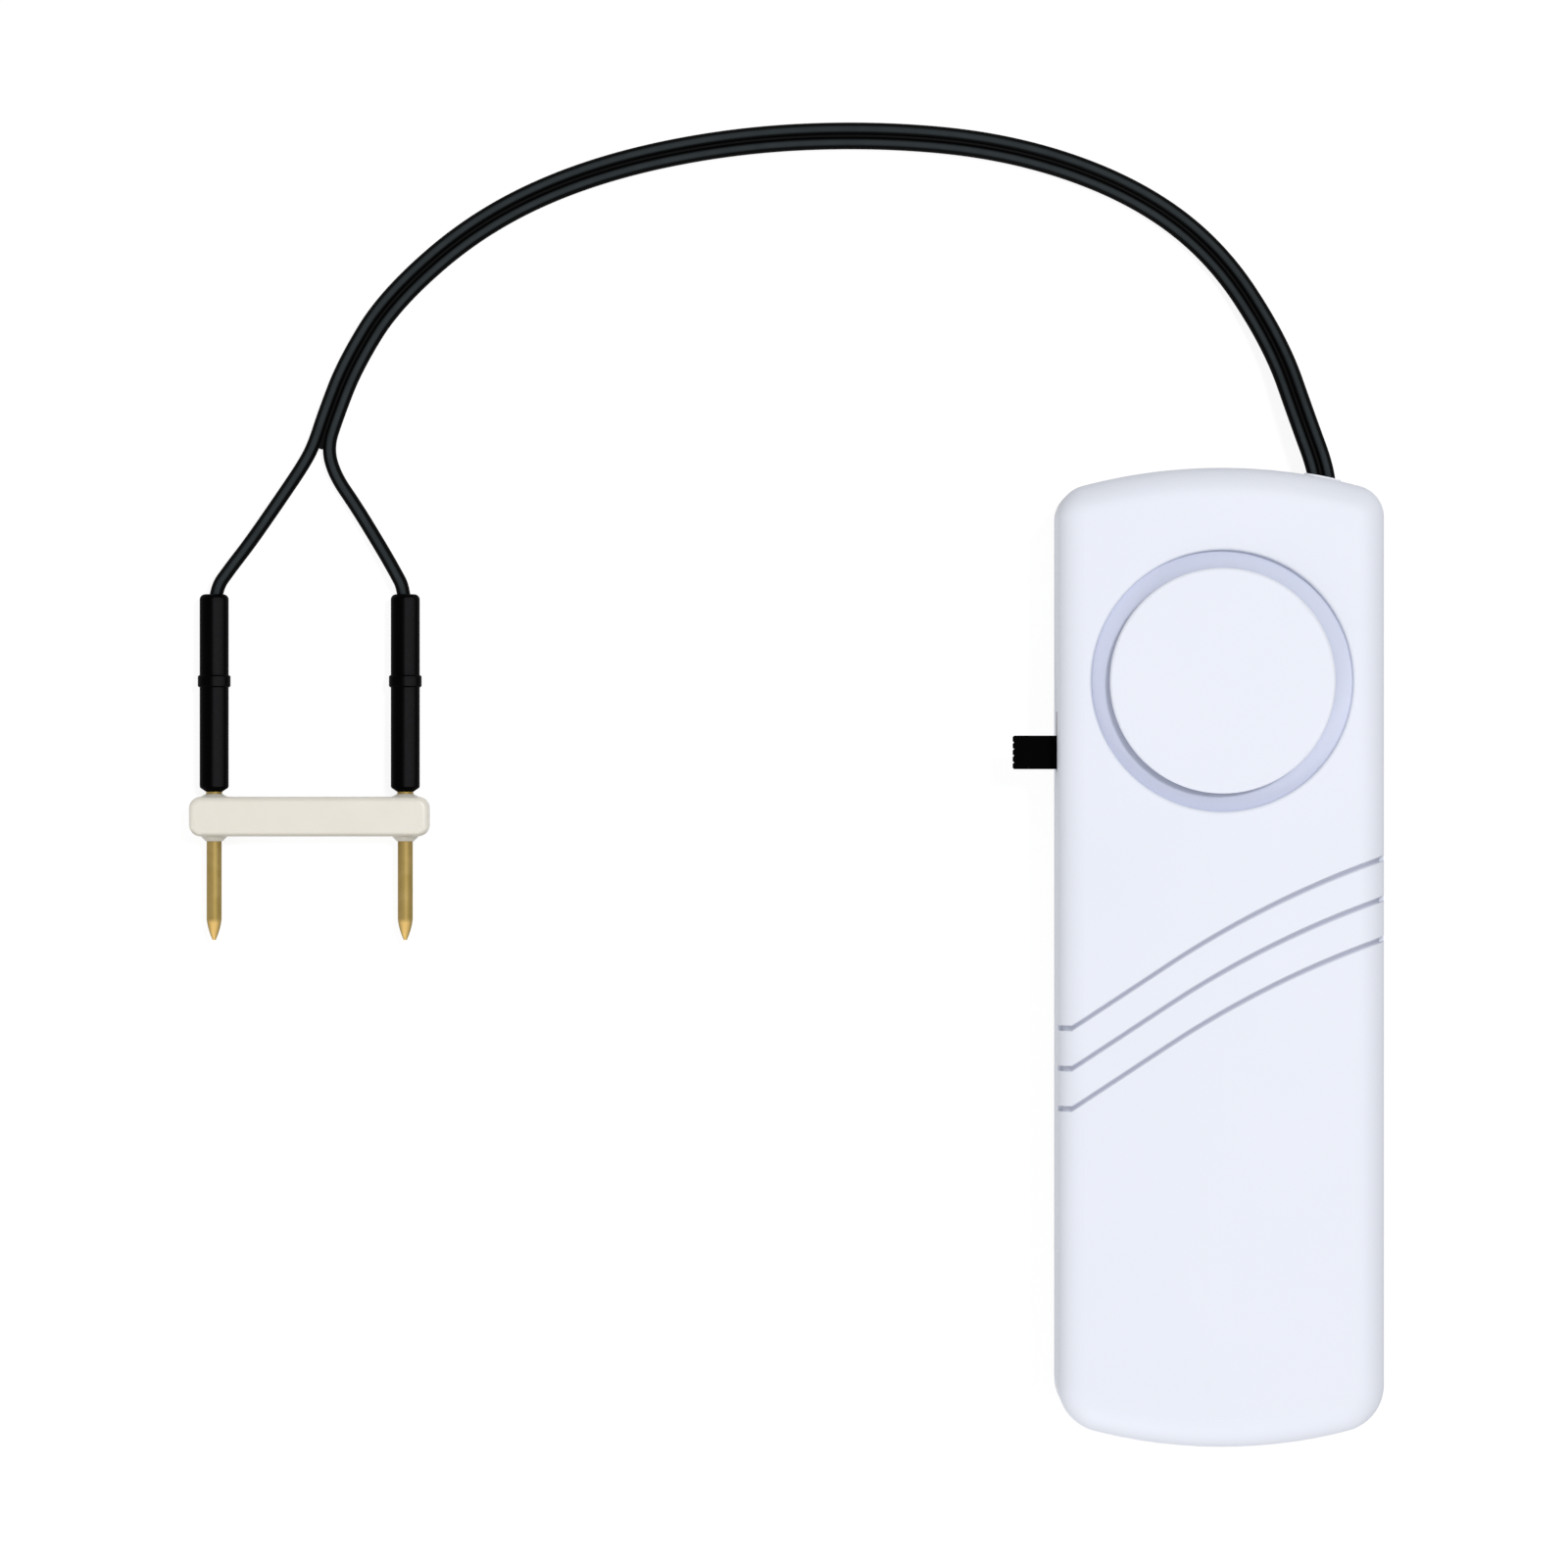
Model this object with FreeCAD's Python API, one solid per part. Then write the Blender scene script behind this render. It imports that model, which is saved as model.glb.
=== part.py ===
import FreeCAD, Part
import math
import os

# Water level alarm: a housing with a sounder, a switch and cells, and a two-pin probe on a twin cable.
# Frame: X to the right, Y to the cable end, Z out of the front. The origin is the centre of the back face.
# All lengths are millimetres.

# Housing outline
housing_length = 90.0
housing_width = 30.0
housing_depth = 15.0
crown_radius = 140.0
top_end_radius = 50.0
bottom_end_radius = 48.0
top_corner_radius = 3.0
bottom_corner_radius = 4.4
front_edge_round = 2.6
back_edge_round = 0.8
smallest_corner = 0.4
smallest_edge_round = 0.3

# Shell walls and their joint
wall = 1.5
parting_height = 4.5
lip_thickness = 0.6
lip_height = 0.9
lip_gap = 0.05

# Clearances
still_gap = 0.02
slide_gap = 0.15
seat_gap = 0.1
roof_gap = 0.3

# How far a cutting tool runs past what it cuts, how deep fused pieces sit in each other,
# and how close a size must be when edges are picked by it
overcut = 1.0
bite = 0.1
pick_tolerance = 0.01
curve_pick_tolerance = 0.1

# Sound recess and cap
sound_centre_from_top = 19.6
recess_radius = 12.0
recess_depth = 0.9
recess_floor_fall = 0.1
recess_rim_round = 0.28
recess_foot_round = 0.15
recess_floor_thickness = 1.2
recess_boss_wall = 1.2
recess_bowl_wall = 0.95
cap_radius = 10.35
cap_thickness = 1.2
cap_rise = 0.8
cap_edge_round = 0.3
cap_peg_diameter = 1.5
cap_peg_shoulder_diameter = 2.6
cap_peg_circle_radius = 7.2
cap_peg_count = 3
sound_hole_diameter = 2.0
sound_hole_circle_radius = 4.0
sound_hole_count = 6

# Wavy grooves on the front
groove_count = 3
groove_pitch = 3.7
groove_width = 0.5
groove_depth = 0.45
groove_foot_below_centre = 6.5
groove_level_run = 1.2
groove_straight_length = 10.5
groove_rise_angle = 33.5
groove_bend_radius = 88.0

# Sounder
piezo_plate_diameter = 20.0
piezo_plate_thickness = 0.2
piezo_ceramic_diameter = 14.0
piezo_ceramic_thickness = 0.2
piezo_seat_width = 1.5
piezo_seat_drop = 1.6
piezo_seat_margin = 0.5
piezo_ceramic_lead_inset = 1.8
piezo_lead_step = 1.6
piezo_lead_upright_share = 0.28

# Circuit board
board_thickness = 1.2
board_half_width = 12.4
board_foot_above_centre = 1.5
board_top_from_end = 6.8
board_below_front = 10.2
board_post_diameter = 3.2
board_pin_diameter = 1.4
board_pin_head_diameter = 2.2
board_pin_head_height = 0.5
board_post_inset = 2.0
board_right_post_from_head = 8.0
board_left_post_from_head = 6.5

# Parts on the board, each placed by its distance from the middle and from the board's foot
chip_x = 1.0
chip_from_foot = 11.5
chip_length = 4.9
chip_width = 3.9
chip_height = 1.5
chip_leg_count = 4
chip_leg_pitch = 1.27
chip_leg_width = 0.4
chip_leg_reach = 1.0
chip_leg_height = 0.3
chip_dot_diameter = 0.7
chip_dot_from_corner = 0.75
chip_dot_depth = 0.1
coil_x = 5.6
coil_from_foot = 5.6
coil_diameter = 7.0
coil_height = 6.0
coil_flange_thickness = 0.8
coil_hub_diameter = 3.0
winding_diameter = 6.2
capacitor_x = -6.8
capacitor_below_sound = 13.7
capacitor_diameter = 4.0
capacitor_height = 5.4
capacitor_groove_height = 0.8
capacitor_groove_width = 0.3
capacitor_groove_depth = 0.15
transistor_x = -2.0
transistor_from_foot = 5.0
transistor_length = 2.9
transistor_width = 1.6
transistor_height = 1.1
transistor_leg_width = 0.4
transistor_leg_reach = 0.5
transistor_leg_height = 0.2
transistor_leg_spacing = 1.9
chip_part_length = 1.6
chip_part_width = 0.8
chip_part_height = 0.45
chip_part_pitch = 2.2
chip_resistor_count = 4
chip_resistor_x = -4.0
chip_resistor_from_head = 2.6
chip_capacitor_count = 2
chip_capacitor_x = 7.0
chip_capacitor_from_foot = 13.5
notch_margin = 0.5

# Slide switch
knob_from_top = 26.15
knob_width = 3.1
knob_height = 2.0
knob_reach = 4.05
knob_travel = 2.0
knob_ridge_count = 5
knob_ridge_depth = 0.15
knob_ridge_share = 0.6
knob_slot_gap = 0.2
switch_frame_length = 10.5
switch_frame_depth = 3.7
switch_frame_height = 4.4
switch_frame_wall = 0.3
switch_wall_gap = 0.1
slider_length = 7.5
slider_depth = 1.6
wiper_depth = 0.7
wiper_length = 4.0
wiper_height = 1.4
terminal_thickness = 0.3
terminal_width = 0.8
terminal_pad_height = 1.2
terminal_pitch = 2.5
terminal_count = 3
terminal_board_thickness = 0.5

# Cells, their well and their contacts
cell_diameter = 11.6
cell_thickness = 5.4
cell_count = 3
cell_cap_diameter = 9.0
cell_cap_height = 0.4
cell_edge_round = 0.4
cell_side_gap = 0.2
well_wall = 1.0
well_head_from_centre = 13.0
contact_thickness = 0.36
contact_width = 8.0
contact_gap = 0.02
contact_foot_gap = 0.1
spring_back_gap = 0.2
spring_crest_height = 1.4
spring_crest_gap = 0.3
spring_tail_drop = 1.3
spring_tail_height = 1.2
spring_room = 3.8
tab_width = 2.0
tab_thickness = 0.4
tab_length = 1.8
tab_gap = 0.1
tab_offset = 2.0
tab_above_axis = 1.9
well_below_cell_top = 0.2

# Battery door
door_thickness = 1.4
door_half_width = 8.9
door_tongue_reach = 1.0
door_tongue_thickness = 0.8
door_web = 1.0
door_head_above_well = 1.0
door_lift_gap = 0.1
rail_width = 1.0
deck_thickness = 1.0
door_end_wall = 2.2
grip_ridge_count = 5
grip_ridge_pitch = 1.4
grip_ridge_width = 0.6
grip_ridge_length = 9.0
grip_ridge_depth = 0.35
grip_from_end = 10.0
arrow_width = 4.0
arrow_length = 2.6

# Screws
screw_diameter = 2.0
screw_head_diameter = 3.8
screw_head_height = 1.3
screw_head_depth = 0.5
screw_length = 9.2
screw_tip_room = 0.2
screw_hole_gap = 0.1
screw_post_diameter = 4.4
screw_boss_diameter = 5.6
screw_top_from_end = 5.5
screw_top_from_side = 4.9
screw_low_below_centre = 6.5
screw_low_from_side = 4.2
cross_slot_width = 0.5
cross_slot_length = 2.4
cross_slot_depth = 0.6

# Hooks at the low end
hook_width = 2.0
hook_thickness = 0.9
hook_centre_from_side = 3.9
hook_gap = 0.1
hook_nub = 0.25
hook_nub_height = 0.5
hook_reach = 1.6
hook_root_height = 2.4
hook_root_bite = 0.2

# Cable outlet and wires
outlet_offset = 9.8
wire_diameter = 1.25
wire_pitch = 1.27
wire_bore_gap = 0.01
grommet_neck_width = 3.0
grommet_neck_height = 1.75
grommet_flange_width = 3.4
grommet_flange_height = 2.2
grommet_flange_thickness = 0.45
grommet_mouth_width = 2.9
grommet_mouth_height = 1.6
grommet_mouth_depth = 1.1
grommet_inner_flange_thickness = 0.6
grommet_room = 6.0
lead_diameter = 1.0
thin_lead_diameter = 0.7
lead_well_gap = 1.4
corner_share = 0.45

# Probe
probe_centre = -84.37
probe_spacing = 17.8
probe_axis_height = 2.0
bar_length = 22.3
bar_low = 11.05
bar_high = 14.75
bar_depth = 4.0
bar_round = 1.1
bar_face_round = 0.55
bar_boss_diameter = 2.5
bar_boss_end_diameter = 1.6
bar_boss_height = 0.45
bar_top_boss_height = 0.25
pin_diameter = 1.4
pin_tip = 1.4
pin_point_length = 1.9
pin_point_diameter = 0.3
pin_point_swell = 0.08
pin_collar_diameter = 1.5
pin_collar_height = 0.2
pin_shank_diameter = 1.0
sleeve_diameter = 2.7
sleeve_length = 18.4
sleeve_head_round = 0.5
sleeve_foot_taper = 0.4
sleeve_foot_round = 0.25
sleeve_band_diameter = 3.05
sleeve_band_width = 1.15
sleeve_band_height = 10.3
sleeve_band_round = 0.2
ferrule_diameter = 1.9
ferrule_length = 1.6
strands_diameter = 0.9
strands_length = 5.5
sleeve_mouth_diameter = 1.6
sleeve_mouth_depth = 1.3

# Places worked out from the sizes above
half_length = housing_length / 2
half_width = housing_width / 2
sound_y = half_length - sound_centre_from_top
recess_floor = housing_depth - recess_depth
recess_underside = recess_floor - recess_floor_thickness
cap_top = housing_depth + cap_rise
piezo_top = recess_underside - piezo_seat_drop
board_height = housing_depth - board_below_front
board_top = board_height + board_thickness
board_foot = board_foot_above_centre
board_head = half_length - board_top_from_end
knob_y = half_length - knob_from_top
switch_z = board_top + switch_frame_height / 2
switch_x = -(half_width - wall - switch_wall_gap)
switch_y = knob_y + knob_travel / 2
cell_radius = cell_diameter / 2
cell_z = door_thickness + door_lift_gap + cell_radius
stack_length = cell_count * cell_thickness
well_head = -well_head_from_centre
stack_head = well_head - contact_thickness - 2 * contact_gap
stack_foot = stack_head - stack_length
well_foot = stack_foot - spring_room
well_half_width = cell_radius + cell_side_gap
deck_low = wall + door_tongue_thickness + 2 * door_lift_gap
deck_high = deck_low + deck_thickness
well_top = cell_z + cell_radius - well_below_cell_top
door_head = well_head + door_head_above_well
door_room_head = door_head + slide_gap
door_opening = door_half_width + slide_gap
tongue_half_width = door_half_width + door_tongue_reach
tongue_opening = tongue_half_width + slide_gap
rail_outer = tongue_opening + rail_width
contact_low = deck_high + contact_foot_gap
contact_high = contact_low + contact_width
tab_z = cell_z + tab_above_axis
screw_places = [
    (-(half_width - screw_top_from_side), half_length - screw_top_from_end),
    (half_width - screw_low_from_side, -screw_low_below_centre),
    (-(half_width - screw_low_from_side), -screw_low_below_centre),
]
board_posts = [
    (board_half_width - board_post_inset, board_foot + board_post_inset),
    (-(board_half_width - board_post_inset), board_foot + board_post_inset),
    (board_half_width - board_post_inset, board_head - board_right_post_from_head),
    (-(board_half_width - board_post_inset), board_head - board_left_post_from_head),
]
outlet_y = half_length - top_end_radius + math.sqrt(top_end_radius ** 2 - outlet_offset ** 2)
mouth_floor = outlet_y + grommet_flange_thickness - grommet_mouth_depth
pin_x = {"left": probe_centre - probe_spacing / 2, "right": probe_centre + probe_spacing / 2}
cable_side = {"left": 1, "right": -1}
collar_low = bar_high + bar_top_boss_height
sleeve_foot = collar_low + pin_collar_height
sleeve_head = sleeve_foot + sleeve_length
band_y = sleeve_foot + sleeve_band_height
wire_end = band_y + strands_length

# Route of the twin cable's middle line, from the outlet to where its two wires part.
# The wire of the left pin is on the outside of the arc, so it leaves the outlet on the right.
twin_route = [
    (outlet_offset, mouth_floor, parting_height),
    (outlet_offset, 45.8, parting_height),
    (8.2, 49.9, 4.1),
    (5.0, 57.2, 2.2),
    (-0.4, 65.3, 0.8),
    (-8.1, 71.5, 0.65),
    (-19.2, 75.4, 0.65),
    (-32.0, 76.6, 0.65),
    (-45.5, 76.1, 0.65),
    (-58.5, 73.4, 0.65),
    (-68.8, 68.6, 0.65),
    (-77.0, 61.3, 0.65),
    (-80.6, 54.9, 0.65),
    (-82.4, 50.3, 0.65),
    (-83.4, 47.5, 0.65),
]

# Route of each wire on its own, from the split to its stripped end in the sleeve
branch_route = {
    "left": [
        (-84.95, 45.85, 0.65),
        (-87.0, 42.85, 0.8),
        (-90.0, 38.5, 1.3),
        (pin_x["left"], 34.1, probe_axis_height),
        (pin_x["left"], wire_end, probe_axis_height),
    ],
    "right": [
        (-82.1, 44.7, 0.65),
        (-80.15, 41.7, 0.8),
        (-77.9, 38.05, 1.3),
        (pin_x["right"], 34.1, probe_axis_height),
        (pin_x["right"], wire_end, probe_axis_height),
    ],
}


# Basic solids


def box(x0, x1, y0, y1, z0, z1):
    return Part.makeBox(x1 - x0, y1 - y0, z1 - z0, FreeCAD.Vector(x0, y0, z0))


def mirrored_boxes(x0, x1, y0, y1, z0, z1):
    return box(x0, x1, y0, y1, z0, z1).fuse(box(-x1, -x0, y0, y1, z0, z1))


def post(diameter, x, y, z0, z1):
    return Part.makeCylinder(diameter / 2, z1 - z0, FreeCAD.Vector(x, y, z0))


def rod(diameter, x, z, y0, y1):
    return Part.makeCylinder(diameter / 2, y1 - y0, FreeCAD.Vector(x, y0, z), FreeCAD.Vector(0, 1, 0))


def cone_rod(diameter0, diameter1, x, z, y0, y1):
    place = FreeCAD.Vector(x, y0, z)
    return Part.makeCone(diameter0 / 2, diameter1 / 2, y1 - y0, place, FreeCAD.Vector(0, 1, 0))


def ring_post(outer, inner, x, y, z0, z1):
    return post(outer, x, y, z0, z1).cut(post(inner, x, y, z0 - overcut, z1 + overcut))


def stadium(width, height, x, z, y0, y1):
    straight = (width - height) / 2
    middle = box(x - straight, x + straight, y0, y1, z - height / 2, z + height / 2)
    ends = [rod(height, x + side * straight, z, y0, y1) for side in (-1, 1)]
    return middle.fuse(ends).removeSplitter()


def round_edges(solid, radius, wanted):
    return solid.makeFillet(radius, [edge for edge in solid.Edges if wanted(edge.BoundBox)])


# The housing's outline, drawn in from the outside by an inset


def corner_centre(inset, end_radius, corner_radius, end):
    width = half_width - inset
    corner = max(corner_radius - inset, smallest_corner)
    arc_centre = half_length - end_radius
    across = width - corner
    up = math.sqrt((end_radius - inset - corner) ** 2 - across ** 2)
    return across, end * (arc_centre + up), corner, math.atan2(up, across)


def outline_face(inset, z):
    def at(x, y):
        return FreeCAD.Vector(x, y, z)

    def corner_points(side, end, end_radius, corner_radius):
        x, y, radius, angle = corner_centre(inset, end_radius, corner_radius, end)
        turns = (0, angle / 2, angle)
        return [at(side * (x + radius * math.cos(t)), y + end * radius * math.sin(t)) for t in turns]

    right_top = corner_points(1, 1, top_end_radius, top_corner_radius)
    left_top = corner_points(-1, 1, top_end_radius, top_corner_radius)[::-1]
    left_low = corner_points(-1, -1, bottom_end_radius, bottom_corner_radius)
    right_low = corner_points(1, -1, bottom_end_radius, bottom_corner_radius)[::-1]
    edges = [
        Part.Arc(*right_top),
        Part.Arc(right_top[2], at(0, half_length - inset), left_top[0]),
        Part.Arc(*left_top),
        Part.LineSegment(left_top[2], left_low[0]),
        Part.Arc(*left_low),
        Part.Arc(left_low[2], at(0, -half_length + inset), right_low[0]),
        Part.Arc(*right_low),
        Part.LineSegment(right_low[2], right_top[0]),
    ]
    return Part.Face(Part.Wire([edge.toShape() for edge in edges]))


def outline_prism(inset, z0, z1):
    return outline_face(inset, z0).extrude(FreeCAD.Vector(0, 0, z1 - z0))


def outline_ring(inset0, inset1, z0, z1):
    return outline_prism(inset0, z0, z1).cut(outline_prism(inset1, z0 - overcut, z1 + overcut))


def pebble(inset, base):
    crest = housing_depth - inset
    reach = half_width + 5
    radius = crown_radius - inset
    drop = radius - math.sqrt(radius ** 2 - reach ** 2)
    y = -housing_length
    left = FreeCAD.Vector(-reach, y, crest - drop)
    right = FreeCAD.Vector(reach, y, crest - drop)
    low_right = FreeCAD.Vector(reach, y, base)
    low_left = FreeCAD.Vector(-reach, y, base)
    edges = [
        Part.Arc(left, FreeCAD.Vector(0, y, crest), right).toShape(),
        Part.LineSegment(right, low_right).toShape(),
        Part.LineSegment(low_right, low_left).toShape(),
        Part.LineSegment(low_left, left).toShape(),
    ]
    crown = Part.Face(Part.Wire(edges)).extrude(FreeCAD.Vector(0, 2 * housing_length, 0))
    body = outline_prism(inset, base, housing_depth + 1).common(crown)
    edge_height = crest - drop
    radius = max(front_edge_round - inset, smallest_edge_round)
    return round_edges(body, radius, lambda b: b.ZMin > edge_height)


# Tubes along a route: straight runs joined by tangent arcs


def beside(points, shift):
    """Shifts a route sideways in plan, to the right of its direction."""
    moved = []
    last = len(points) - 1
    for index, (x, y, z) in enumerate(points):
        before = points[max(index - 1, 0)]
        after = points[min(index + 1, last)]
        into = FreeCAD.Vector(x - before[0], y - before[1], 0)
        out = FreeCAD.Vector(after[0] - x, after[1] - y, 0)
        into = (into if into.Length else out).normalize()
        out = (out if out.Length else into).normalize()
        side = FreeCAD.Vector(into.y + out.y, -into.x - out.x, 0).normalize()
        reach = shift / (side.x * into.y - side.y * into.x)
        moved.append((x + side.x * reach, y + side.y * reach, z))
    return moved


def route_path(points):
    corners = [FreeCAD.Vector(*point) for point in points]
    edges = []
    radii = []
    start = corners[0]
    for before, corner, after in zip(corners, corners[1:], corners[2:]):
        into = (corner - before).normalize()
        out = (after - corner).normalize()
        reach = corner_share * min((corner - before).Length, (after - corner).Length)
        turn = into.getAngle(out)
        radius = reach / math.tan(turn / 2)
        enter = corner - into * reach
        leave = corner + out * reach
        inward = (out - into).normalize()
        middle = corner + inward * (radius / math.cos(turn / 2) - radius)
        edges.append(Part.LineSegment(start, enter).toShape())
        edges.append(Part.Arc(enter, middle, leave).toShape())
        radii.append(radius)
        start = leave
    edges.append(Part.LineSegment(start, corners[-1]).toShape())
    return Part.Wire(edges), radii


def tube(name, points, diameter):
    path, radii = route_path(points)
    start = FreeCAD.Vector(*points[0])
    heading = FreeCAD.Vector(*points[1]) - start
    section = Part.Wire([Part.Circle(start, heading, diameter / 2).toShape()])
    solid = path.makePipeShell([section], True, False)
    expected = math.pi * diameter ** 2 / 4 * path.Length
    sizes = " ".join("%.1f" % radius for radius in radii)
    print("%s: length %.1f, volume %.4f of section times length, radii %s"
          % (name, path.Length, solid.Volume / expected, sizes))
    return solid


# Housing


def groove_edges(foot, shift):
    rise = math.radians(groove_rise_angle)
    start_x = -half_width + groove_level_run
    y = -foot + shift
    bend_x = start_x + groove_straight_length * math.cos(rise)
    bend_y = y + groove_straight_length * math.sin(rise)
    centre_x = bend_x + groove_bend_radius * math.sin(rise)
    centre_y = bend_y - groove_bend_radius * math.cos(rise)

    def on_bend(x):
        return FreeCAD.Vector(x, centre_y + math.sqrt(groove_bend_radius ** 2 - (x - centre_x) ** 2), 0)

    far_left = FreeCAD.Vector(-half_width - 2, y, 0)
    kink = FreeCAD.Vector(start_x, y, 0)
    bend = FreeCAD.Vector(bend_x, bend_y, 0)
    far_right = on_bend(half_width + 2)
    edges = [
        Part.LineSegment(far_left, kink).toShape(),
        Part.LineSegment(kink, bend).toShape(),
        Part.Arc(bend, on_bend((bend_x + half_width) / 2), far_right).toShape(),
    ]
    return edges, far_left, far_right


def groove_band(number):
    foot = groove_foot_below_centre + number * groove_pitch
    upper, upper_left, upper_right = groove_edges(foot, groove_width / 2)
    lower, lower_left, lower_right = groove_edges(foot, -groove_width / 2)
    ends = [
        Part.LineSegment(upper_left, lower_left).toShape(),
        Part.LineSegment(upper_right, lower_right).toShape(),
    ]
    edges = Part.__sortEdges__(upper + lower + ends)
    face = Part.Face(Part.Wire(edges))
    face.translate(FreeCAD.Vector(0, 0, housing_depth - front_edge_round - 1))
    return face.extrude(FreeCAD.Vector(0, 0, front_edge_round + 3))


def recess_tool():
    """The recess. Its floor is level under the cap, and falls a little from there to the wall."""
    foot = recess_floor - recess_floor_fall
    well = post(2 * recess_radius, 0, sound_y, foot, housing_depth + 2)
    floor = Part.makeCone(recess_radius, cap_radius, recess_floor_fall, FreeCAD.Vector(0, sound_y, foot))
    well = round_edges(well, recess_foot_round, lambda b: b.ZMax < foot + pick_tolerance)
    return well.cut(floor)


def around_sound(radius, count, first_angle):
    angles = [math.radians(first_angle + 360 * number / count) for number in range(count)]
    return [(radius * math.cos(angle), sound_y + radius * math.sin(angle)) for angle in angles]


def hook_space(side):
    x = side * (half_width - hook_centre_from_side)
    return box(x - hook_width / 2, x + hook_width / 2, -half_length, 0, 0, housing_depth)


def make_hooks():
    low = parting_height - hook_reach
    root = parting_height + lip_height + 2 * lip_gap
    outer = wall + hook_gap
    blade = outline_ring(outer, outer + hook_thickness, low, root)
    stem = outline_ring(wall - hook_root_bite, outer + hook_thickness, root, root + hook_root_height)
    nub = outline_ring(outer - hook_nub, outer + bite, low, low + hook_nub_height)
    hooks = blade.fuse([stem, nub])
    return [hooks.common(hook_space(side)) for side in (-1, 1)]


def hook_pockets():
    low = parting_height - hook_reach - hook_gap
    nub_room = outline_ring(wall - hook_nub, wall + hook_gap, low, low + hook_nub_height + 2 * hook_gap)
    blade_room = outline_ring(wall, wall + hook_thickness + 2 * hook_gap, low, parting_height)
    return [nub_room.fuse(blade_room).common(hook_space(side)) for side in (-1, 1)]


def knob_slot():
    low = knob_y - knob_width / 2 - knob_slot_gap
    high = knob_y + knob_width / 2 + knob_travel + knob_slot_gap
    rise = knob_height / 2 + knob_slot_gap
    return box(-half_width - overcut, -half_width + wall + overcut / 2, low, high,
               switch_z - rise, switch_z + rise)


def outlet_hole():
    width = grommet_neck_width + 2 * still_gap
    height = grommet_neck_height + 2 * still_gap
    return stadium(width, height, outlet_offset, parting_height,
                   outlet_y - grommet_room, outlet_y + grommet_room)


def half_space(z0, z1):
    return box(-housing_width, housing_width, -housing_length, housing_length, z0, z1)


def roof_rooms():
    """Room in the front cover over the tall things under it. It cuts only where the roof is low."""
    reach = well_half_width + well_wall + roof_gap
    foot = well_foot - well_wall - roof_gap
    head = well_head + well_wall + roof_gap
    coil_y = board_foot + coil_from_foot
    coil_room = board_top + coil_height + roof_gap
    return [
        rod(cell_diameter + 2 * roof_gap, 0, cell_z, foot, head),
        box(-reach, reach, foot, head, parting_height, well_top + roof_gap),
        post(coil_diameter + 2 * roof_gap, coil_x, coil_y, parting_height, coil_room),
    ]


def make_front_cover():
    above = half_space(parting_height, 2 * housing_depth)
    body = pebble(0, 0)
    cavity = pebble(wall, 0)
    shell = body.common(above)
    shell = shell.cut([groove_band(number).cut(pebble(groove_depth, 0)) for number in range(groove_count)])
    shell = shell.cut(recess_tool())
    rim = [edge for edge in shell.Edges if is_recess_rim(edge)]
    shell = shell.makeFillet(recess_rim_round, rim)
    shell = shell.cut(cavity)
    shell = shell.cut(outline_prism(wall - lip_thickness - lip_gap, 0, parting_height + lip_height + lip_gap))
    inside = pebble(wall / 2, 0)
    boss_diameter = 2 * (recess_radius + recess_boss_wall)
    boss = post(boss_diameter, 0, sound_y, recess_underside, recess_floor).common(inside).cut(recess_tool())
    bowl = post(boss_diameter, 0, sound_y, recess_floor - bite, housing_depth)
    bowl_inner = boss_diameter - 2 * recess_bowl_wall
    bowl = bowl.cut(post(bowl_inner, 0, sound_y, 0, 2 * housing_depth)).common(inside)
    seat_outer = piezo_plate_diameter + 2 * piezo_seat_margin
    seat_inner = piezo_plate_diameter - 2 * piezo_seat_width
    seat = ring_post(seat_outer, seat_inner, 0, sound_y, piezo_top, recess_underside)
    screw_posts = [
        post(screw_post_diameter, x, y, parting_height, housing_depth).common(inside)
        for x, y in screw_places
    ]
    shell = shell.fuse([boss, bowl, seat] + screw_posts + make_hooks())
    holes = [
        post(sound_hole_diameter, x, y, recess_underside - 1, recess_floor + 1)
        for x, y in around_sound(sound_hole_circle_radius, sound_hole_count, 0) + [(0, sound_y)]
    ]
    peg_holes = [
        post(cap_peg_diameter + 2 * still_gap, x, y, recess_underside - 1, recess_floor + 1)
        for x, y in around_sound(cap_peg_circle_radius, cap_peg_count, 90)
    ]
    screw_top = screw_head_depth + screw_head_height + screw_length
    screw_holes = [post(screw_diameter + 2 * still_gap, x, y, 0, screw_top + screw_tip_room)
                   for x, y in screw_places]
    return shell.cut(holes + peg_holes + screw_holes + [knob_slot(), outlet_hole()] + roof_rooms())


def is_recess_rim(edge):
    """The rim goes round the recess, above the round at its foot. The wall's seam is upright."""
    middle = edge.valueAt((edge.FirstParameter + edge.LastParameter) / 2)
    from_axis = math.hypot(middle.x, middle.y - sound_y)
    on_wall = abs(from_axis - recess_radius) < pick_tolerance
    above_foot = edge.BoundBox.ZMax > recess_floor + recess_foot_round + curve_pick_tolerance
    upright = edge.BoundBox.XLength + edge.BoundBox.YLength < pick_tolerance
    return on_wall and above_foot and not upright


def well_block(y0, y1, half, z0, z1):
    return box(-half, half, y0, y1, z0, z1)


def tab_slot(y0, y1):
    width = tab_width / 2 + tab_gap
    rise = tab_thickness / 2 + tab_gap
    return box(tab_offset - width, tab_offset + width, y0, y1, tab_z - rise, tab_z + rise)


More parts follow.
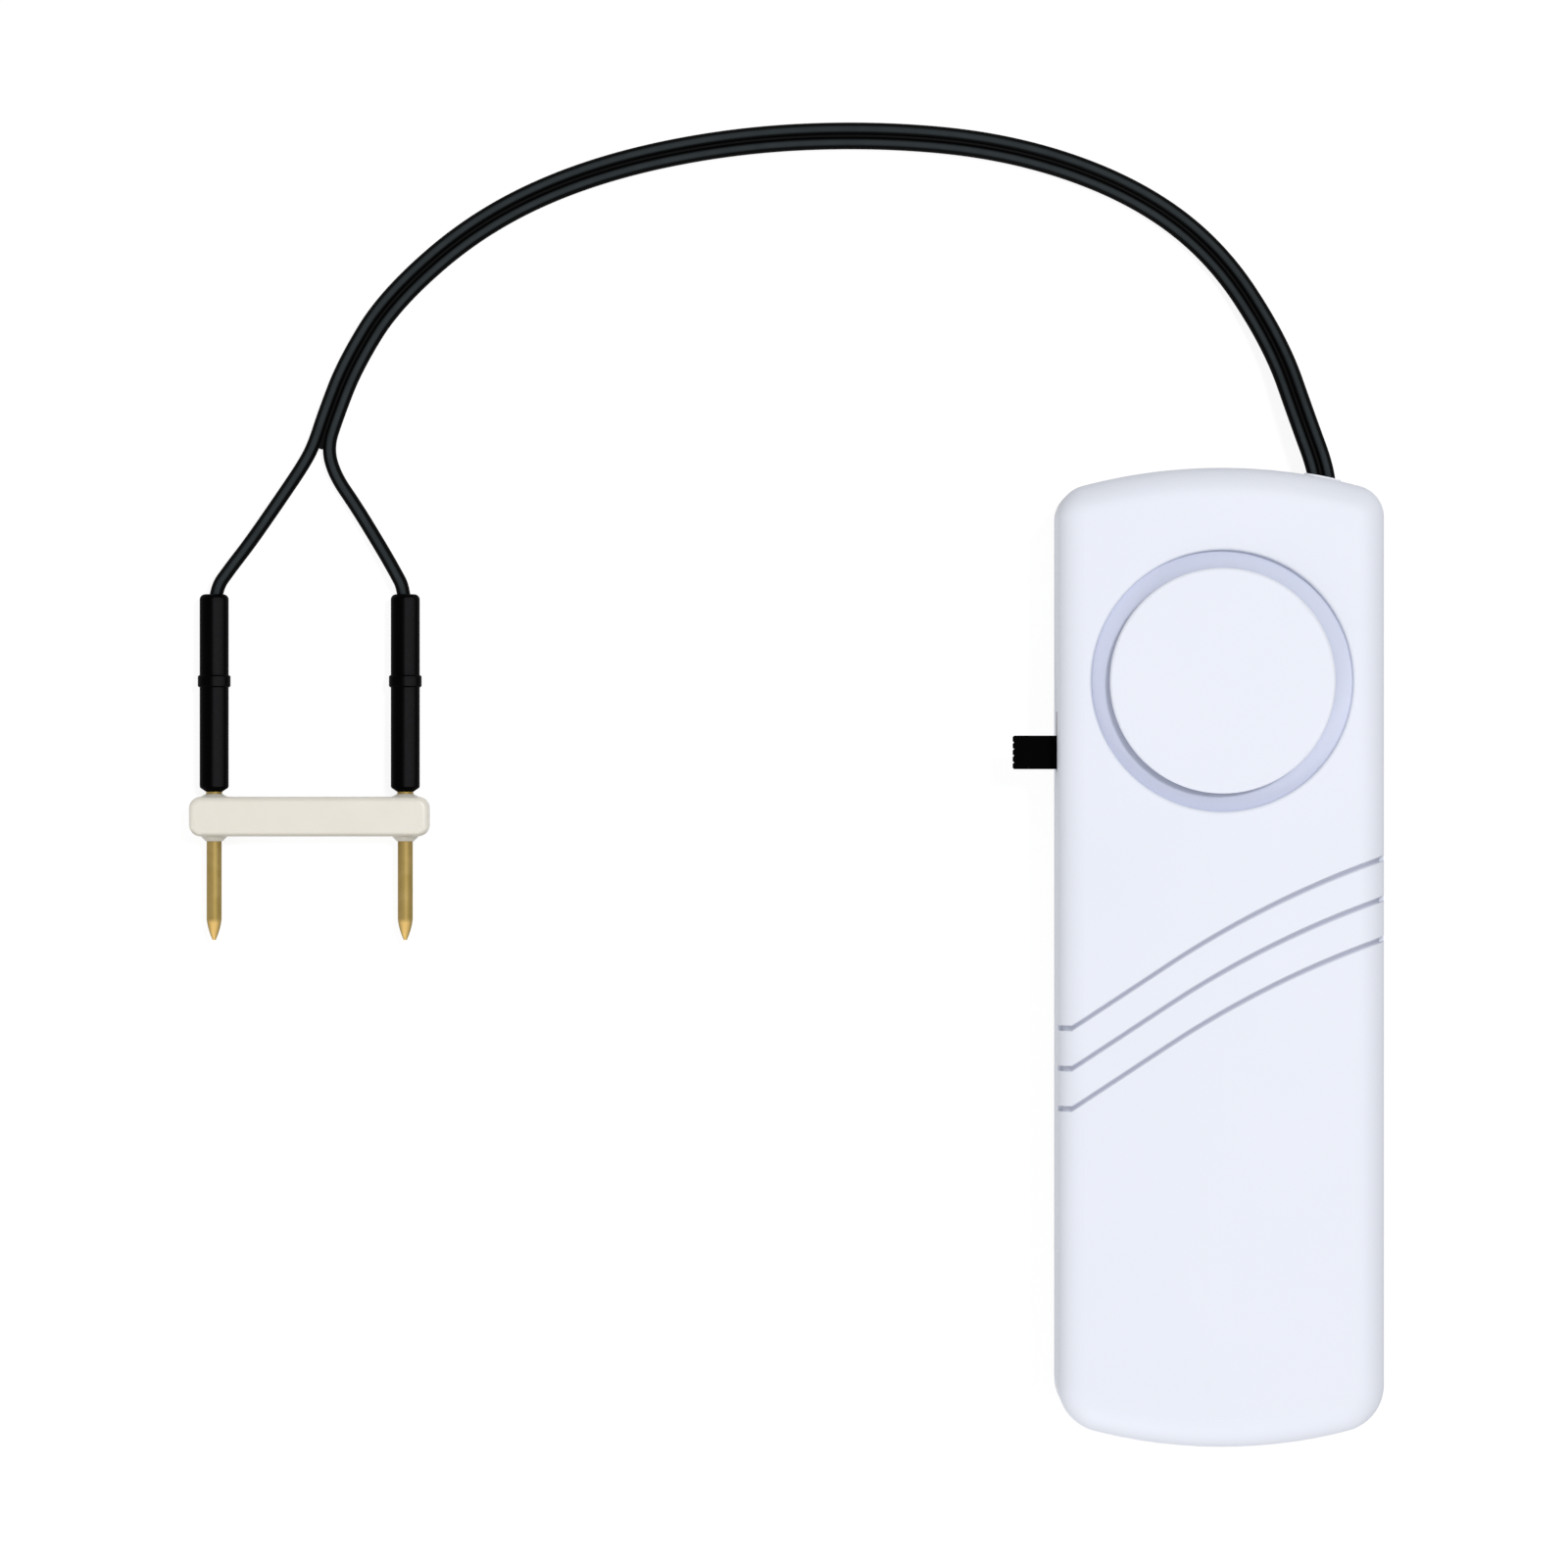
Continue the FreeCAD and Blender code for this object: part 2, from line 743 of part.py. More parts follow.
def make_back_cover():
    below = half_space(-overcut, parting_height)
    body = round_edges(pebble(0, 0), back_edge_round, lambda b: b.ZMax < pick_tolerance)
    shell = body.common(below).cut(pebble(wall, wall))
    lip = outline_ring(wall - lip_thickness, wall, parting_height - wall / 2, parting_height + lip_height)
    inside = outline_prism(wall / 2, 0, housing_depth)
    end = -half_length
    deck = box(-rail_outer, rail_outer, end, door_room_head + well_wall, deck_low, deck_high)
    rails = mirrored_boxes(tongue_opening, rail_outer, end, door_room_head, wall / 2, deck_low)
    head_wall = box(-rail_outer, rail_outer, door_room_head, door_room_head + well_wall,
                    wall / 2, deck_high)
    well = well_block(well_foot - well_wall, well_head + well_wall,
                      well_half_width + well_wall, deck_low, well_top)
    added = [piece.common(inside) for piece in (deck, rails, head_wall, well)]
    bosses = [
        post(screw_boss_diameter, x, y, wall / 2, parting_height).common(inside)
        for x, y in screw_places
    ]
    posts = [post(board_post_diameter, x, y, wall / 2, board_height) for x, y in board_posts]
    pins = [post(board_pin_diameter, x, y, wall / 2, board_top) for x, y in board_posts]
    heads = [
        post(board_pin_head_diameter, x, y, board_top, board_top + board_pin_head_height)
        for x, y in board_posts
    ]
    shell = shell.fuse([lip] + added + bosses + posts + pins + heads)
    plate_opening = box(-door_opening, door_opening, end - 1, door_room_head, -1, deck_low)
    tongue_space = box(-tongue_opening, tongue_opening, end - 1, door_room_head, wall, deck_low)
    cell_space = well_block(well_foot, well_head, well_half_width, wall, housing_depth)
    head_slot = tab_slot(well_head - bite, well_head + well_wall + bite)
    foot_slot = tab_slot(well_foot - well_wall - bite, well_foot + bite)
    head_recess = screw_head_depth + screw_head_height
    screw_cuts = []
    for x, y in screw_places:
        screw_cuts.append(post(screw_head_diameter + 2 * screw_hole_gap, x, y, -1, head_recess))
        screw_cuts.append(post(screw_diameter + 2 * screw_hole_gap, x, y, 0, parting_height + 2))
    lip_gaps = [hook_space(side).common(outline_prism(0, parting_height, housing_depth)) for side in (-1, 1)]
    return shell.cut([plate_opening, tongue_space, cell_space, head_slot, foot_slot, outlet_hole()]
                     + screw_cuts + lip_gaps + hook_pockets())


def arrow(y):
    points = [(-arrow_width / 2, y), (arrow_width / 2, y), (0, y - arrow_length), (-arrow_width / 2, y)]
    face = Part.Face(Part.makePolygon([FreeCAD.Vector(x, high, -1) for x, high in points]))
    return face.extrude(FreeCAD.Vector(0, 0, 1 + grip_ridge_depth))


def make_battery_door():
    body = round_edges(pebble(0, 0), back_edge_round, lambda b: b.ZMax < pick_tolerance)
    end = -half_length
    tongue_low = wall + door_lift_gap
    top = tongue_low + door_tongue_thickness
    plate = box(-door_half_width, door_half_width, end, door_head, 0, top)
    tongues = box(-tongue_half_width, tongue_half_width, end, door_head, tongue_low, top)
    hollow_half = door_half_width - door_web
    hollow = box(-hollow_half, hollow_half, end + door_end_wall, door_head + 1, door_thickness, top + 1)
    door = plate.fuse(tongues).common(body).cut(hollow)
    grip_y = end + grip_from_end
    ridges = []
    for number in range(grip_ridge_count):
        y = grip_y + number * grip_ridge_pitch
        ridges.append(box(-grip_ridge_length / 2, grip_ridge_length / 2, y - grip_ridge_width / 2,
                          y + grip_ridge_width / 2, -1, grip_ridge_depth))
    arrow_y = grip_y + grip_ridge_count * grip_ridge_pitch + arrow_length
    return door.cut(ridges + [arrow(arrow_y)])


def make_sound_cap():
    low = cap_top - cap_thickness
    cap = post(2 * cap_radius, 0, sound_y, low, cap_top)
    cap = round_edges(cap, cap_edge_round, lambda b: b.ZMin > cap_top - pick_tolerance)
    for x, y in around_sound(cap_peg_circle_radius, cap_peg_count, 90):
        shoulder = post(cap_peg_shoulder_diameter, x, y, recess_floor, low)
        peg = post(cap_peg_diameter, x, y, recess_underside + seat_gap, low)
        cap = cap.fuse([shoulder, peg])
    return cap


def make_screw(x, y):
    head = post(screw_head_diameter, x, y, screw_head_depth, screw_head_depth + screw_head_height)
    shank_top = screw_head_depth + screw_head_height + screw_length
    shank = post(screw_diameter, x, y, screw_head_depth, shank_top)
    long_half = cross_slot_length / 2
    short_half = cross_slot_width / 2
    slot_top = screw_head_depth + cross_slot_depth
    slots = [
        box(x - long_half, x + long_half, y - short_half, y + short_half, 0, slot_top),
        box(x - short_half, x + short_half, y - long_half, y + long_half, 0, slot_top),
    ]
    return head.fuse(shank).cut(slots)


def make_cable_grommet():
    def slab(width, height, inset0, inset1):
        block = stadium(width, height, outlet_offset, parting_height,
                        outlet_y - grommet_room, outlet_y + grommet_room)
        return block.common(outline_ring(inset0, inset1, 0, housing_depth))

    outer = slab(grommet_flange_width, grommet_flange_height, -grommet_flange_thickness, 0)
    neck = slab(grommet_neck_width, grommet_neck_height, 0, wall)
    inner = slab(grommet_flange_width, grommet_flange_height, wall, wall + grommet_inner_flange_thickness)
    mouth = stadium(grommet_mouth_width, grommet_mouth_height, outlet_offset, parting_height,
                    mouth_floor, outlet_y + grommet_room)
    bore_height = wire_diameter + 2 * wire_bore_gap
    bore = stadium(wire_pitch + bore_height, bore_height, outlet_offset, parting_height,
                   outlet_y - grommet_room, outlet_y)
    return outer.fuse([neck, inner]).cut([mouth, bore])


# Sounder


def make_piezo_plate():
    return post(piezo_plate_diameter, 0, sound_y, piezo_top - piezo_plate_thickness, piezo_top)


def make_piezo_ceramic():
    top = piezo_top - piezo_plate_thickness
    return post(piezo_ceramic_diameter, 0, sound_y, top - piezo_ceramic_thickness, top)


def piezo_lead(name, radius, underside):
    x = radius * math.cos(math.radians(45))
    y = sound_y - radius * math.sin(math.radians(45))
    drop = underside - board_top
    points = [
        (x, y, underside),
        (x, y, underside - piezo_lead_upright_share * drop),
        (x, y - piezo_lead_step, board_top + piezo_lead_upright_share * drop),
        (x, y - piezo_lead_step, board_top),
    ]
    return tube(name, points, thin_lead_diameter)


# Circuit board


def make_circuit_board():
    board = box(-board_half_width, board_half_width, board_foot, board_head, board_height, board_top)
    notch_x, notch_y = screw_places[0]
    room = screw_post_diameter / 2 + notch_margin
    notch = box(-half_width, notch_x + room, notch_y - room, half_length, 0, housing_depth)
    boss_rooms = [post(screw_boss_diameter + 2 * seat_gap, x, y, 0, parting_height + seat_gap)
                  for x, y in screw_places]
    holes = [post(board_pin_diameter + 2 * still_gap, x, y, 0, housing_depth) for x, y in board_posts]
    return board.cut([notch] + boss_rooms + holes)


def on_board(length, width, height, x, y):
    return box(x - length / 2, x + length / 2, y - width / 2, y + width / 2, board_top, board_top + height)


def make_driver_chip():
    y = board_foot + chip_from_foot
    chip = on_board(chip_length, chip_width, chip_height, chip_x, y)
    legs = []
    for number in range(chip_leg_count):
        leg_x = chip_x + (number - (chip_leg_count - 1) / 2) * chip_leg_pitch
        legs.append(on_board(chip_leg_width, chip_width + 2 * chip_leg_reach, chip_leg_height, leg_x, y))
    dot_x = chip_x - chip_length / 2 + chip_dot_from_corner
    dot_y = y + chip_width / 2 - chip_dot_from_corner
    top = board_top + chip_height
    dot = post(chip_dot_diameter, dot_x, dot_y, top - chip_dot_depth, top + overcut)
    return chip.fuse(legs).cut(dot)


def make_transistor():
    y = board_foot + transistor_from_foot
    block = on_board(transistor_length, transistor_width, transistor_height, transistor_x, y)
    half = transistor_leg_spacing / 2
    leg_y = transistor_width / 2
    legs = []
    for leg_x, side in [(-half, -leg_y), (half, -leg_y), (0, leg_y)]:
        legs.append(on_board(transistor_leg_width, 2 * transistor_leg_reach, transistor_leg_height,
                             transistor_x + leg_x, y + side))
    return block.fuse(legs)


def make_boost_coil_core():
    y = board_foot + coil_from_foot
    top = board_top + coil_height
    foot = post(coil_diameter, coil_x, y, board_top, board_top + coil_flange_thickness)
    head = post(coil_diameter, coil_x, y, top - coil_flange_thickness, top)
    hub = post(coil_hub_diameter, coil_x, y, board_top, top)
    return foot.fuse([head, hub])


def make_boost_coil_winding():
    y = board_foot + coil_from_foot
    low = board_top + coil_flange_thickness
    high = board_top + coil_height - coil_flange_thickness
    return ring_post(winding_diameter, coil_hub_diameter, coil_x, y, low, high)


def make_filter_capacitor():
    y = sound_y - capacitor_below_sound
    can = post(capacitor_diameter, capacitor_x, y, board_top, board_top + capacitor_height)
    low = board_top + capacitor_groove_height
    inner = capacitor_diameter - 2 * capacitor_groove_depth
    groove = ring_post(capacitor_diameter + overcut, inner, capacitor_x, y, low, low + capacitor_groove_width)
    return can.cut(groove)


def chip_part_row(count, x, y):
    row = [on_board(chip_part_width, chip_part_length, chip_part_height, x + number * chip_part_pitch, y)
           for number in range(count)]
    return Part.makeCompound(row)


# Slide switch: its frame lies along the left wall, and the knob comes out of the slot


def make_switch_frame():
    x0 = switch_x
    x1 = switch_x + switch_frame_depth
    y0 = switch_y - switch_frame_length / 2
    y1 = switch_y + switch_frame_length / 2
    top = board_top + switch_frame_height
    frame = box(x0, x1, y0, y1, board_top, top)
    w = switch_frame_wall
    inside = box(x0 + w, x1 + 1, y0 + w, y1 - w, board_top + w, top - w)
    low = knob_y - knob_width / 2 - knob_slot_gap
    high = knob_y + knob_width / 2 + knob_travel + knob_slot_gap
    rise = knob_height / 2 + knob_slot_gap
    window = box(x0 - overcut, x0 + w + bite, low, high, switch_z - rise, switch_z + rise)
    return frame.cut([inside, window])


slider_low = switch_x + switch_frame_wall + slide_gap
slider_high = slider_low + slider_depth


def make_switch_knob():
    rise = knob_height / 2
    tip = -half_width - knob_reach
    stem = box(tip, slider_low + bite, knob_y - knob_width / 2, knob_y + knob_width / 2,
               switch_z - rise, switch_z + rise)
    inner_half = switch_frame_height / 2 - switch_frame_wall - slide_gap
    slider_foot = switch_y - switch_frame_length / 2 + switch_frame_wall + slide_gap
    slider = box(slider_low, slider_high, slider_foot, slider_foot + slider_length,
                 switch_z - inner_half, switch_z + inner_half)
    pitch = knob_width / knob_ridge_count
    notches = []
    for number in range(knob_ridge_count + 1):
        y = knob_y - knob_width / 2 + number * pitch
        half = knob_ridge_share * pitch / 2
        corner = [(tip - bite, y - half), (tip + knob_ridge_depth, y), (tip - bite, y + half)]
        points = [FreeCAD.Vector(x, high, switch_z - rise - overcut) for x, high in corner + corner[:1]]
        notch = Part.Face(Part.makePolygon(points))
        notches.append(notch.extrude(FreeCAD.Vector(0, 0, knob_height + 2 * overcut)))
    return stem.fuse(slider).cut(notches)


def make_switch_wiper():
    middle = switch_y - knob_travel / 2
    return box(slider_high, slider_high + wiper_depth, middle - wiper_length / 2, middle + wiper_length / 2,
               switch_z - wiper_height / 2, switch_z + wiper_height / 2)


terminal_board_high = switch_x + switch_frame_depth
terminal_board_low = terminal_board_high - terminal_board_thickness


def terminal_places():
    first = switch_y - (terminal_count - 1) / 2 * terminal_pitch
    return [first + number * terminal_pitch for number in range(terminal_count)]


def make_switch_terminal_board():
    w = switch_frame_wall + still_gap
    y0 = switch_y - switch_frame_length / 2 + w
    y1 = switch_y + switch_frame_length / 2 - w
    board = box(terminal_board_low, terminal_board_high, y0, y1, board_top + w,
                board_top + switch_frame_height - w)
    slots = []
    for y in terminal_places():
        half = terminal_width / 2 + still_gap
        rise = terminal_thickness / 2 + still_gap
        slots.append(box(terminal_board_low - 1, terminal_board_high + 1, y - half, y + half,
                         switch_z - rise, switch_z + rise))
    return board.cut(slots)


def make_switch_terminals():
    legs = []
    for y in terminal_places():
        half = terminal_width / 2
        t = terminal_thickness
        pad_half = terminal_pad_height / 2
        pad = box(terminal_board_low - t, terminal_board_low, y - half, y + half,
                  switch_z - pad_half, switch_z + pad_half)
        neck = box(terminal_board_low - t, terminal_board_high + t, y - half, y + half,
                   switch_z - t / 2, switch_z + t / 2)
        leg = box(terminal_board_high, terminal_board_high + t, y - half, y + half,
                  board_top, switch_z + t / 2)
        legs.append(pad.fuse([neck, leg]))
    return Part.makeCompound(legs)


# Cells and contacts


def make_button_cell(number):
    head = stack_head - number * cell_thickness
    foot = head - cell_thickness
    can = rod(cell_diameter, 0, cell_z, foot + cell_cap_height, head)
    can = round_edges(can, cell_edge_round, lambda b: b.YLength < pick_tolerance)
    cap = rod(cell_cap_diameter, 0, cell_z, foot, foot + 2 * cell_cap_height)
    return can.fuse(cap)


def strip(points, thickness, x0, x1):
    """A strip of sheet, bent along points in the YZ plane, from x0 to x1."""
    flat = [(y, z, 0) for y, z in points]
    sides = beside(flat, thickness / 2) + beside(flat, -thickness / 2)[::-1]
    corners = [FreeCAD.Vector(x0, y, z) for y, z, _ in sides]
    face = Part.Face(Part.makePolygon(corners + corners[:1]))
    return face.extrude(FreeCAD.Vector(x1 - x0, 0, 0))


def contact_tab(y0, y1):
    return box(tab_offset - tab_width / 2, tab_offset + tab_width / 2, y0, y1,
               tab_z - tab_thickness / 2, tab_z + tab_thickness / 2)


def make_positive_contact():
    face = well_head - contact_gap
    plate = box(-contact_width / 2, contact_width / 2, face - contact_thickness, face,
                contact_low, contact_high)
    return plate.fuse(contact_tab(face - contact_thickness / 2, face + well_wall + tab_length))


def make_negative_contact():
    back = well_foot + contact_gap + contact_thickness / 2
    crest = stack_foot - contact_gap - spring_crest_gap - contact_thickness / 2
    points = [
        (back, contact_low + spring_back_gap),
        (back, contact_high),
        (crest, cell_z + spring_crest_height / 2),
        (crest, cell_z - spring_crest_height / 2),
        (crest - spring_tail_drop, contact_low + spring_tail_height),
    ]
    leaf = strip(points, contact_thickness, -contact_width / 2, contact_width / 2)
    return leaf.fuse(contact_tab(well_foot - well_wall - tab_length, back))


# The points of the leads' routes are chosen by hand, to clear the well, the screw posts and the board


def battery_lead_positive_route():
    start = well_head - contact_gap + well_wall + tab_length
    rest = board_top + lead_diameter / 2 + still_gap
    return [
        (tab_offset, start, tab_z),
        (tab_offset, start + 3.2, tab_z),
        (tab_offset - 1.2, start + 7.6, rest + 1.2),
        (tab_offset - 1.0, board_foot + 1.2, rest),
        (tab_offset - 0.6, board_foot + 3.4, rest),
    ]


def battery_lead_negative_route():
    start = well_foot - well_wall - tab_length
    beside_well = well_half_width + well_wall + lead_well_gap
    rest = board_top + lead_diameter / 2 + still_gap
    return [
        (tab_offset, start, tab_z),
        (tab_offset, start - 2.0, tab_z),
        (tab_offset - 2.6, start - 3.6, tab_z - 0.8),
        (-4.6, start - 3.2, tab_z - 1.8),
        (-beside_well, start - 0.4, tab_z - 2.2),
        (-beside_well - 0.3, start + 7.0, tab_z - 2.4),
        (-beside_well, well_head - 4.0, tab_z - 2.2),
        (-beside_well + 0.9, -screw_low_below_centre - 1.0, rest + 0.8),
        (-beside_well + 2.2, board_foot + 1.0, rest),
        (-beside_well + 2.5, board_foot + 3.4, rest),
    ]


def wire_tail_route(side):
    x = outlet_offset + cable_side[side] * wire_pitch / 2
    rest = board_top + wire_diameter / 2 + seat_gap
    return [
        (x, mouth_floor, parting_height),
        (x, mouth_floor - 2.9, parting_height),
        (x, board_head + 0.9, rest),
        (x, board_head - 1.7, rest),
    ]


# Sensor wires and probe


def sensor_wire_route(side):
    return beside(twin_route, cable_side[side] * wire_pitch / 2) + branch_route[side]


def make_probe_bar():
    x0 = probe_centre - bar_length / 2
    x1 = probe_centre + bar_length / 2
    bar = box(x0, x1, bar_low, bar_high, 0, bar_depth)
    bar = round_edges(bar, bar_round, lambda b: b.ZLength > bar_depth - pick_tolerance)
    bar = round_edges(bar, bar_face_round, lambda b: b.ZLength < pick_tolerance)
    for x in pin_x.values():
        low_boss = cone_rod(bar_boss_end_diameter, bar_boss_diameter, x, probe_axis_height,
                            bar_low - bar_boss_height, bar_low)
        top_boss = cone_rod(bar_boss_diameter, bar_boss_end_diameter, x, probe_axis_height,
                            bar_high, bar_high + bar_top_boss_height)
        bar = bar.fuse([low_boss, top_boss])
    holes = [rod(pin_diameter + 2 * still_gap, x, probe_axis_height, 0, sleeve_head) for x in pin_x.values()]
    return bar.cut(holes)


def pin_point(x, z):
    """A turned point, whose side swells out from a plain cone."""
    low_radius = pin_point_diameter / 2
    high_radius = pin_diameter / 2
    base = pin_tip + pin_point_length
    tip_centre = FreeCAD.Vector(x, pin_tip, z)
    base_centre = FreeCAD.Vector(x, base, z)
    tip = FreeCAD.Vector(x + low_radius, pin_tip, z)
    swell = FreeCAD.Vector(x + (low_radius + high_radius) / 2 + pin_point_swell, (pin_tip + base) / 2, z)
    shoulder = FreeCAD.Vector(x + high_radius, base, z)
    edges = [
        Part.LineSegment(tip_centre, tip).toShape(),
        Part.Arc(tip, swell, shoulder).toShape(),
        Part.LineSegment(shoulder, base_centre).toShape(),
        Part.LineSegment(base_centre, tip_centre).toShape(),
    ]
    return Part.Face(Part.Wire(edges)).revolve(tip_centre, FreeCAD.Vector(0, 1, 0), 360)


def make_probe_pin(side):
    x = pin_x[side]
    z = probe_axis_height
    point = pin_point(x, z)
    body = rod(pin_diameter, x, z, pin_tip + pin_point_length, collar_low)
    collar = rod(pin_collar_diameter, x, z, collar_low, sleeve_foot)
    shank = rod(pin_shank_diameter, x, z, sleeve_foot, band_y)
    return point.fuse([body, collar, shank])


def make_wire_strands(side):
    return rod(strands_diameter, pin_x[side], probe_axis_height, band_y, wire_end)


def make_crimp_ferrule(side):
    low = band_y - ferrule_length / 2
    high = band_y + ferrule_length / 2
    outer = rod(ferrule_diameter, pin_x[side], probe_axis_height, low, high)
    bore = rod(pin_shank_diameter + 2 * still_gap, pin_x[side], probe_axis_height, low - 1, high + 1)
    return outer.cut(bore)


def make_probe_sleeve(side):
    x = pin_x[side]
    z = probe_axis_height
    shoulder = sleeve_foot + sleeve_foot_taper
    body = rod(sleeve_diameter, x, z, shoulder, sleeve_head)
    body = round_edges(body, sleeve_head_round, lambda b: b.YMin > sleeve_head - pick_tolerance)
    body = body.fuse(cone_rod(pin_collar_diameter, sleeve_diameter, x, z, sleeve_foot, shoulder))
    body = round_edges(body, sleeve_foot_round,
                       lambda b: b.YLength < pick_tolerance and abs(b.YMin - shoulder) < pick_tolerance)
    band = rod(sleeve_band_diameter, x, z, band_y - sleeve_band_width / 2, band_y + sleeve_band_width / 2)
    band = round_edges(band, sleeve_band_round, lambda b: b.YLength < pick_tolerance)
    ferrule_half = ferrule_length / 2 + still_gap
    bores = [
        rod(pin_shank_diameter + 2 * still_gap, x, z, sleeve_foot - 1, band_y),
        rod(ferrule_diameter + 2 * still_gap, x, z, band_y - ferrule_half, band_y + ferrule_half),
        rod(strands_diameter + 2 * still_gap, x, z, band_y, wire_end),
        rod(wire_diameter + 2 * wire_bore_gap, x, z, wire_end, sleeve_head),
        cone_rod(wire_diameter, sleeve_mouth_diameter, x, z, sleeve_head - sleeve_mouth_depth, sleeve_head),
    ]
    return body.fuse(band).cut(bores)


def make_parts():
    parts = {
        "front_cover": make_front_cover(),
        "back_cover": make_back_cover(),
        "battery_door": make_battery_door(),
        "sound_cap": make_sound_cap(),
        "case_screws": Part.makeCompound([make_screw(x, y) for x, y in screw_places]),
        "cable_grommet": make_cable_grommet(),
        "piezo_plate": make_piezo_plate(),
        "piezo_ceramic": make_piezo_ceramic(),
        "circuit_board": make_circuit_board(),
        "driver_chip": make_driver_chip(),
        "transistor": make_transistor(),
        "boost_coil_core": make_boost_coil_core(),
        "boost_coil_winding": make_boost_coil_winding(),
        "filter_capacitor": make_filter_capacitor(),
        "chip_resistors": chip_part_row(chip_resistor_count, chip_resistor_x,
                                        board_head - chip_resistor_from_head),
        "chip_capacitors": chip_part_row(chip_capacitor_count, chip_capacitor_x,
                                         board_foot + chip_capacitor_from_foot),
        "switch_frame": make_switch_frame(),
        "switch_knob": make_switch_knob(),
        "switch_wiper": make_switch_wiper(),
        "switch_terminal_board": make_switch_terminal_board(),
        "switch_terminals": make_switch_terminals(),
        "positive_contact": make_positive_contact(),
        "negative_contact": make_negative_contact(),
        "probe_bar": make_probe_bar(),
    }
    plate_underside = piezo_top - piezo_plate_thickness
    plate_lead_radius = (piezo_plate_diameter + piezo_ceramic_diameter) / 4
    ceramic_lead_radius = piezo_ceramic_diameter / 2 - piezo_ceramic_lead_inset
    parts["piezo_lead_plate"] = piezo_lead("piezo_lead_plate", plate_lead_radius, plate_underside)
    parts["piezo_lead_ceramic"] = piezo_lead("piezo_lead_ceramic", ceramic_lead_radius,
                                             plate_underside - piezo_ceramic_thickness)
    battery_leads = {"positive": battery_lead_positive_route(), "negative": battery_lead_negative_route()}
    for pole, route in battery_leads.items():
        parts["battery_lead_" + pole] = tube("battery_lead_" + pole, route, lead_diameter)
    for number in range(cell_count):
        parts["button_cell_%d" % (number + 1)] = make_button_cell(number)
    for side in ("left", "right"):
        parts["wire_tail_" + side] = tube("wire_tail_" + side, wire_tail_route(side), wire_diameter)
        parts["sensor_wire_" + side] = tube("sensor_wire_" + side, sensor_wire_route(side), wire_diameter)
        parts["wire_strands_" + side] = make_wire_strands(side)
        parts["crimp_ferrule_" + side] = make_crimp_ferrule(side)
        parts["probe_sleeve_" + side] = make_probe_sleeve(side)
        parts["probe_pin_" + side] = make_probe_pin(side)
    return parts


os.makedirs("parts", exist_ok=True)
for name, shape in make_parts().items():
    shape.exportStep("parts/" + name + ".step")
    print("%s: %d solid, volume %.2f, valid %s" % (name, len(shape.Solids), shape.Volume, shape.isValid()))
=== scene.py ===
# Water level alarm: the finish of its shells, its probe and what it holds, round the fixed frame.
# All lengths are metres, in the frame's own axes: X to the right, Y to the cable end, Z out of the front.
import math

import bmesh
import bpy
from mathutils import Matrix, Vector


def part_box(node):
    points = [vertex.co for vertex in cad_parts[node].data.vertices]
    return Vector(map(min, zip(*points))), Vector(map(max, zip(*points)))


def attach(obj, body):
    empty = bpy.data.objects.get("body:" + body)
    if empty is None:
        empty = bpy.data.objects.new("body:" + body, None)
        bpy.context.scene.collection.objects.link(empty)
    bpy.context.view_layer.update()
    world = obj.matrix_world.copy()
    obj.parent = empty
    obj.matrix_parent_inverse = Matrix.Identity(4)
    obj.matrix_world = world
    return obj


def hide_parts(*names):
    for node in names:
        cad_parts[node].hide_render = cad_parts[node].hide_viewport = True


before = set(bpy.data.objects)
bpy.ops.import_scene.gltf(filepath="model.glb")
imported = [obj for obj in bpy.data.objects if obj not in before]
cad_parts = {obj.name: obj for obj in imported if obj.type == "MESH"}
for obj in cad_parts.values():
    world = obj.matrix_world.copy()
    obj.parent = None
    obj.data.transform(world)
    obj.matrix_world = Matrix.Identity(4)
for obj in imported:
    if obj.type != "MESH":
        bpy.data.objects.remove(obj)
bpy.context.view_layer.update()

MM = 0.001

# Camera: straight above the table, as in the photograph
camera_place = (-0.0402, 0.01593, 0.8133)
camera_lens = 200
camera_sensor = 36
camera_nearest = 0.01

# Sensor wires
wire_diameter = 1.25 * MM
wire_pitch = 1.27 * MM
cable_side = {"left": 1, "right": -1}
wire_round_steps = 6
wire_curve_steps = 16
web_height = 0.6 * MM
web_width = 0.5 * MM

# Painted shade in the sunk ring round the sound cap: axis, edge, side towards the light, heights where it
# fades
ring_axis = (0.0, 0.0254)
ring_edge = 12.35 * MM
ring_light_side = (0.87, 0.5, 0.0)
ring_floor_top = 14.12 * MM
ring_rim_top = 14.45 * MM

# Grooves on the front, with painted shade: a level run, a straight rise and a long bend, the same three
# times over
groove_foot = -6.5 * MM
groove_pitch = 3.7 * MM
groove_count = 3
groove_kink = -13.8 * MM
groove_straight = 10.5 * MM
groove_rise = math.radians(33.5)
groove_bend = 88.0 * MM
groove_reach = 0.4 * MM
groove_low = 11.4 * MM
groove_level_share = 0.4

# Marks of making: tin on the ends of a chip part and twist of the copper strands; a painted highlight on a
# pin's point
chip_tin_length = 0.3 * MM
strand_slant = math.radians(35)
pin_point_length = 2.0 * MM
pin_point_fade = 0.4 * MM

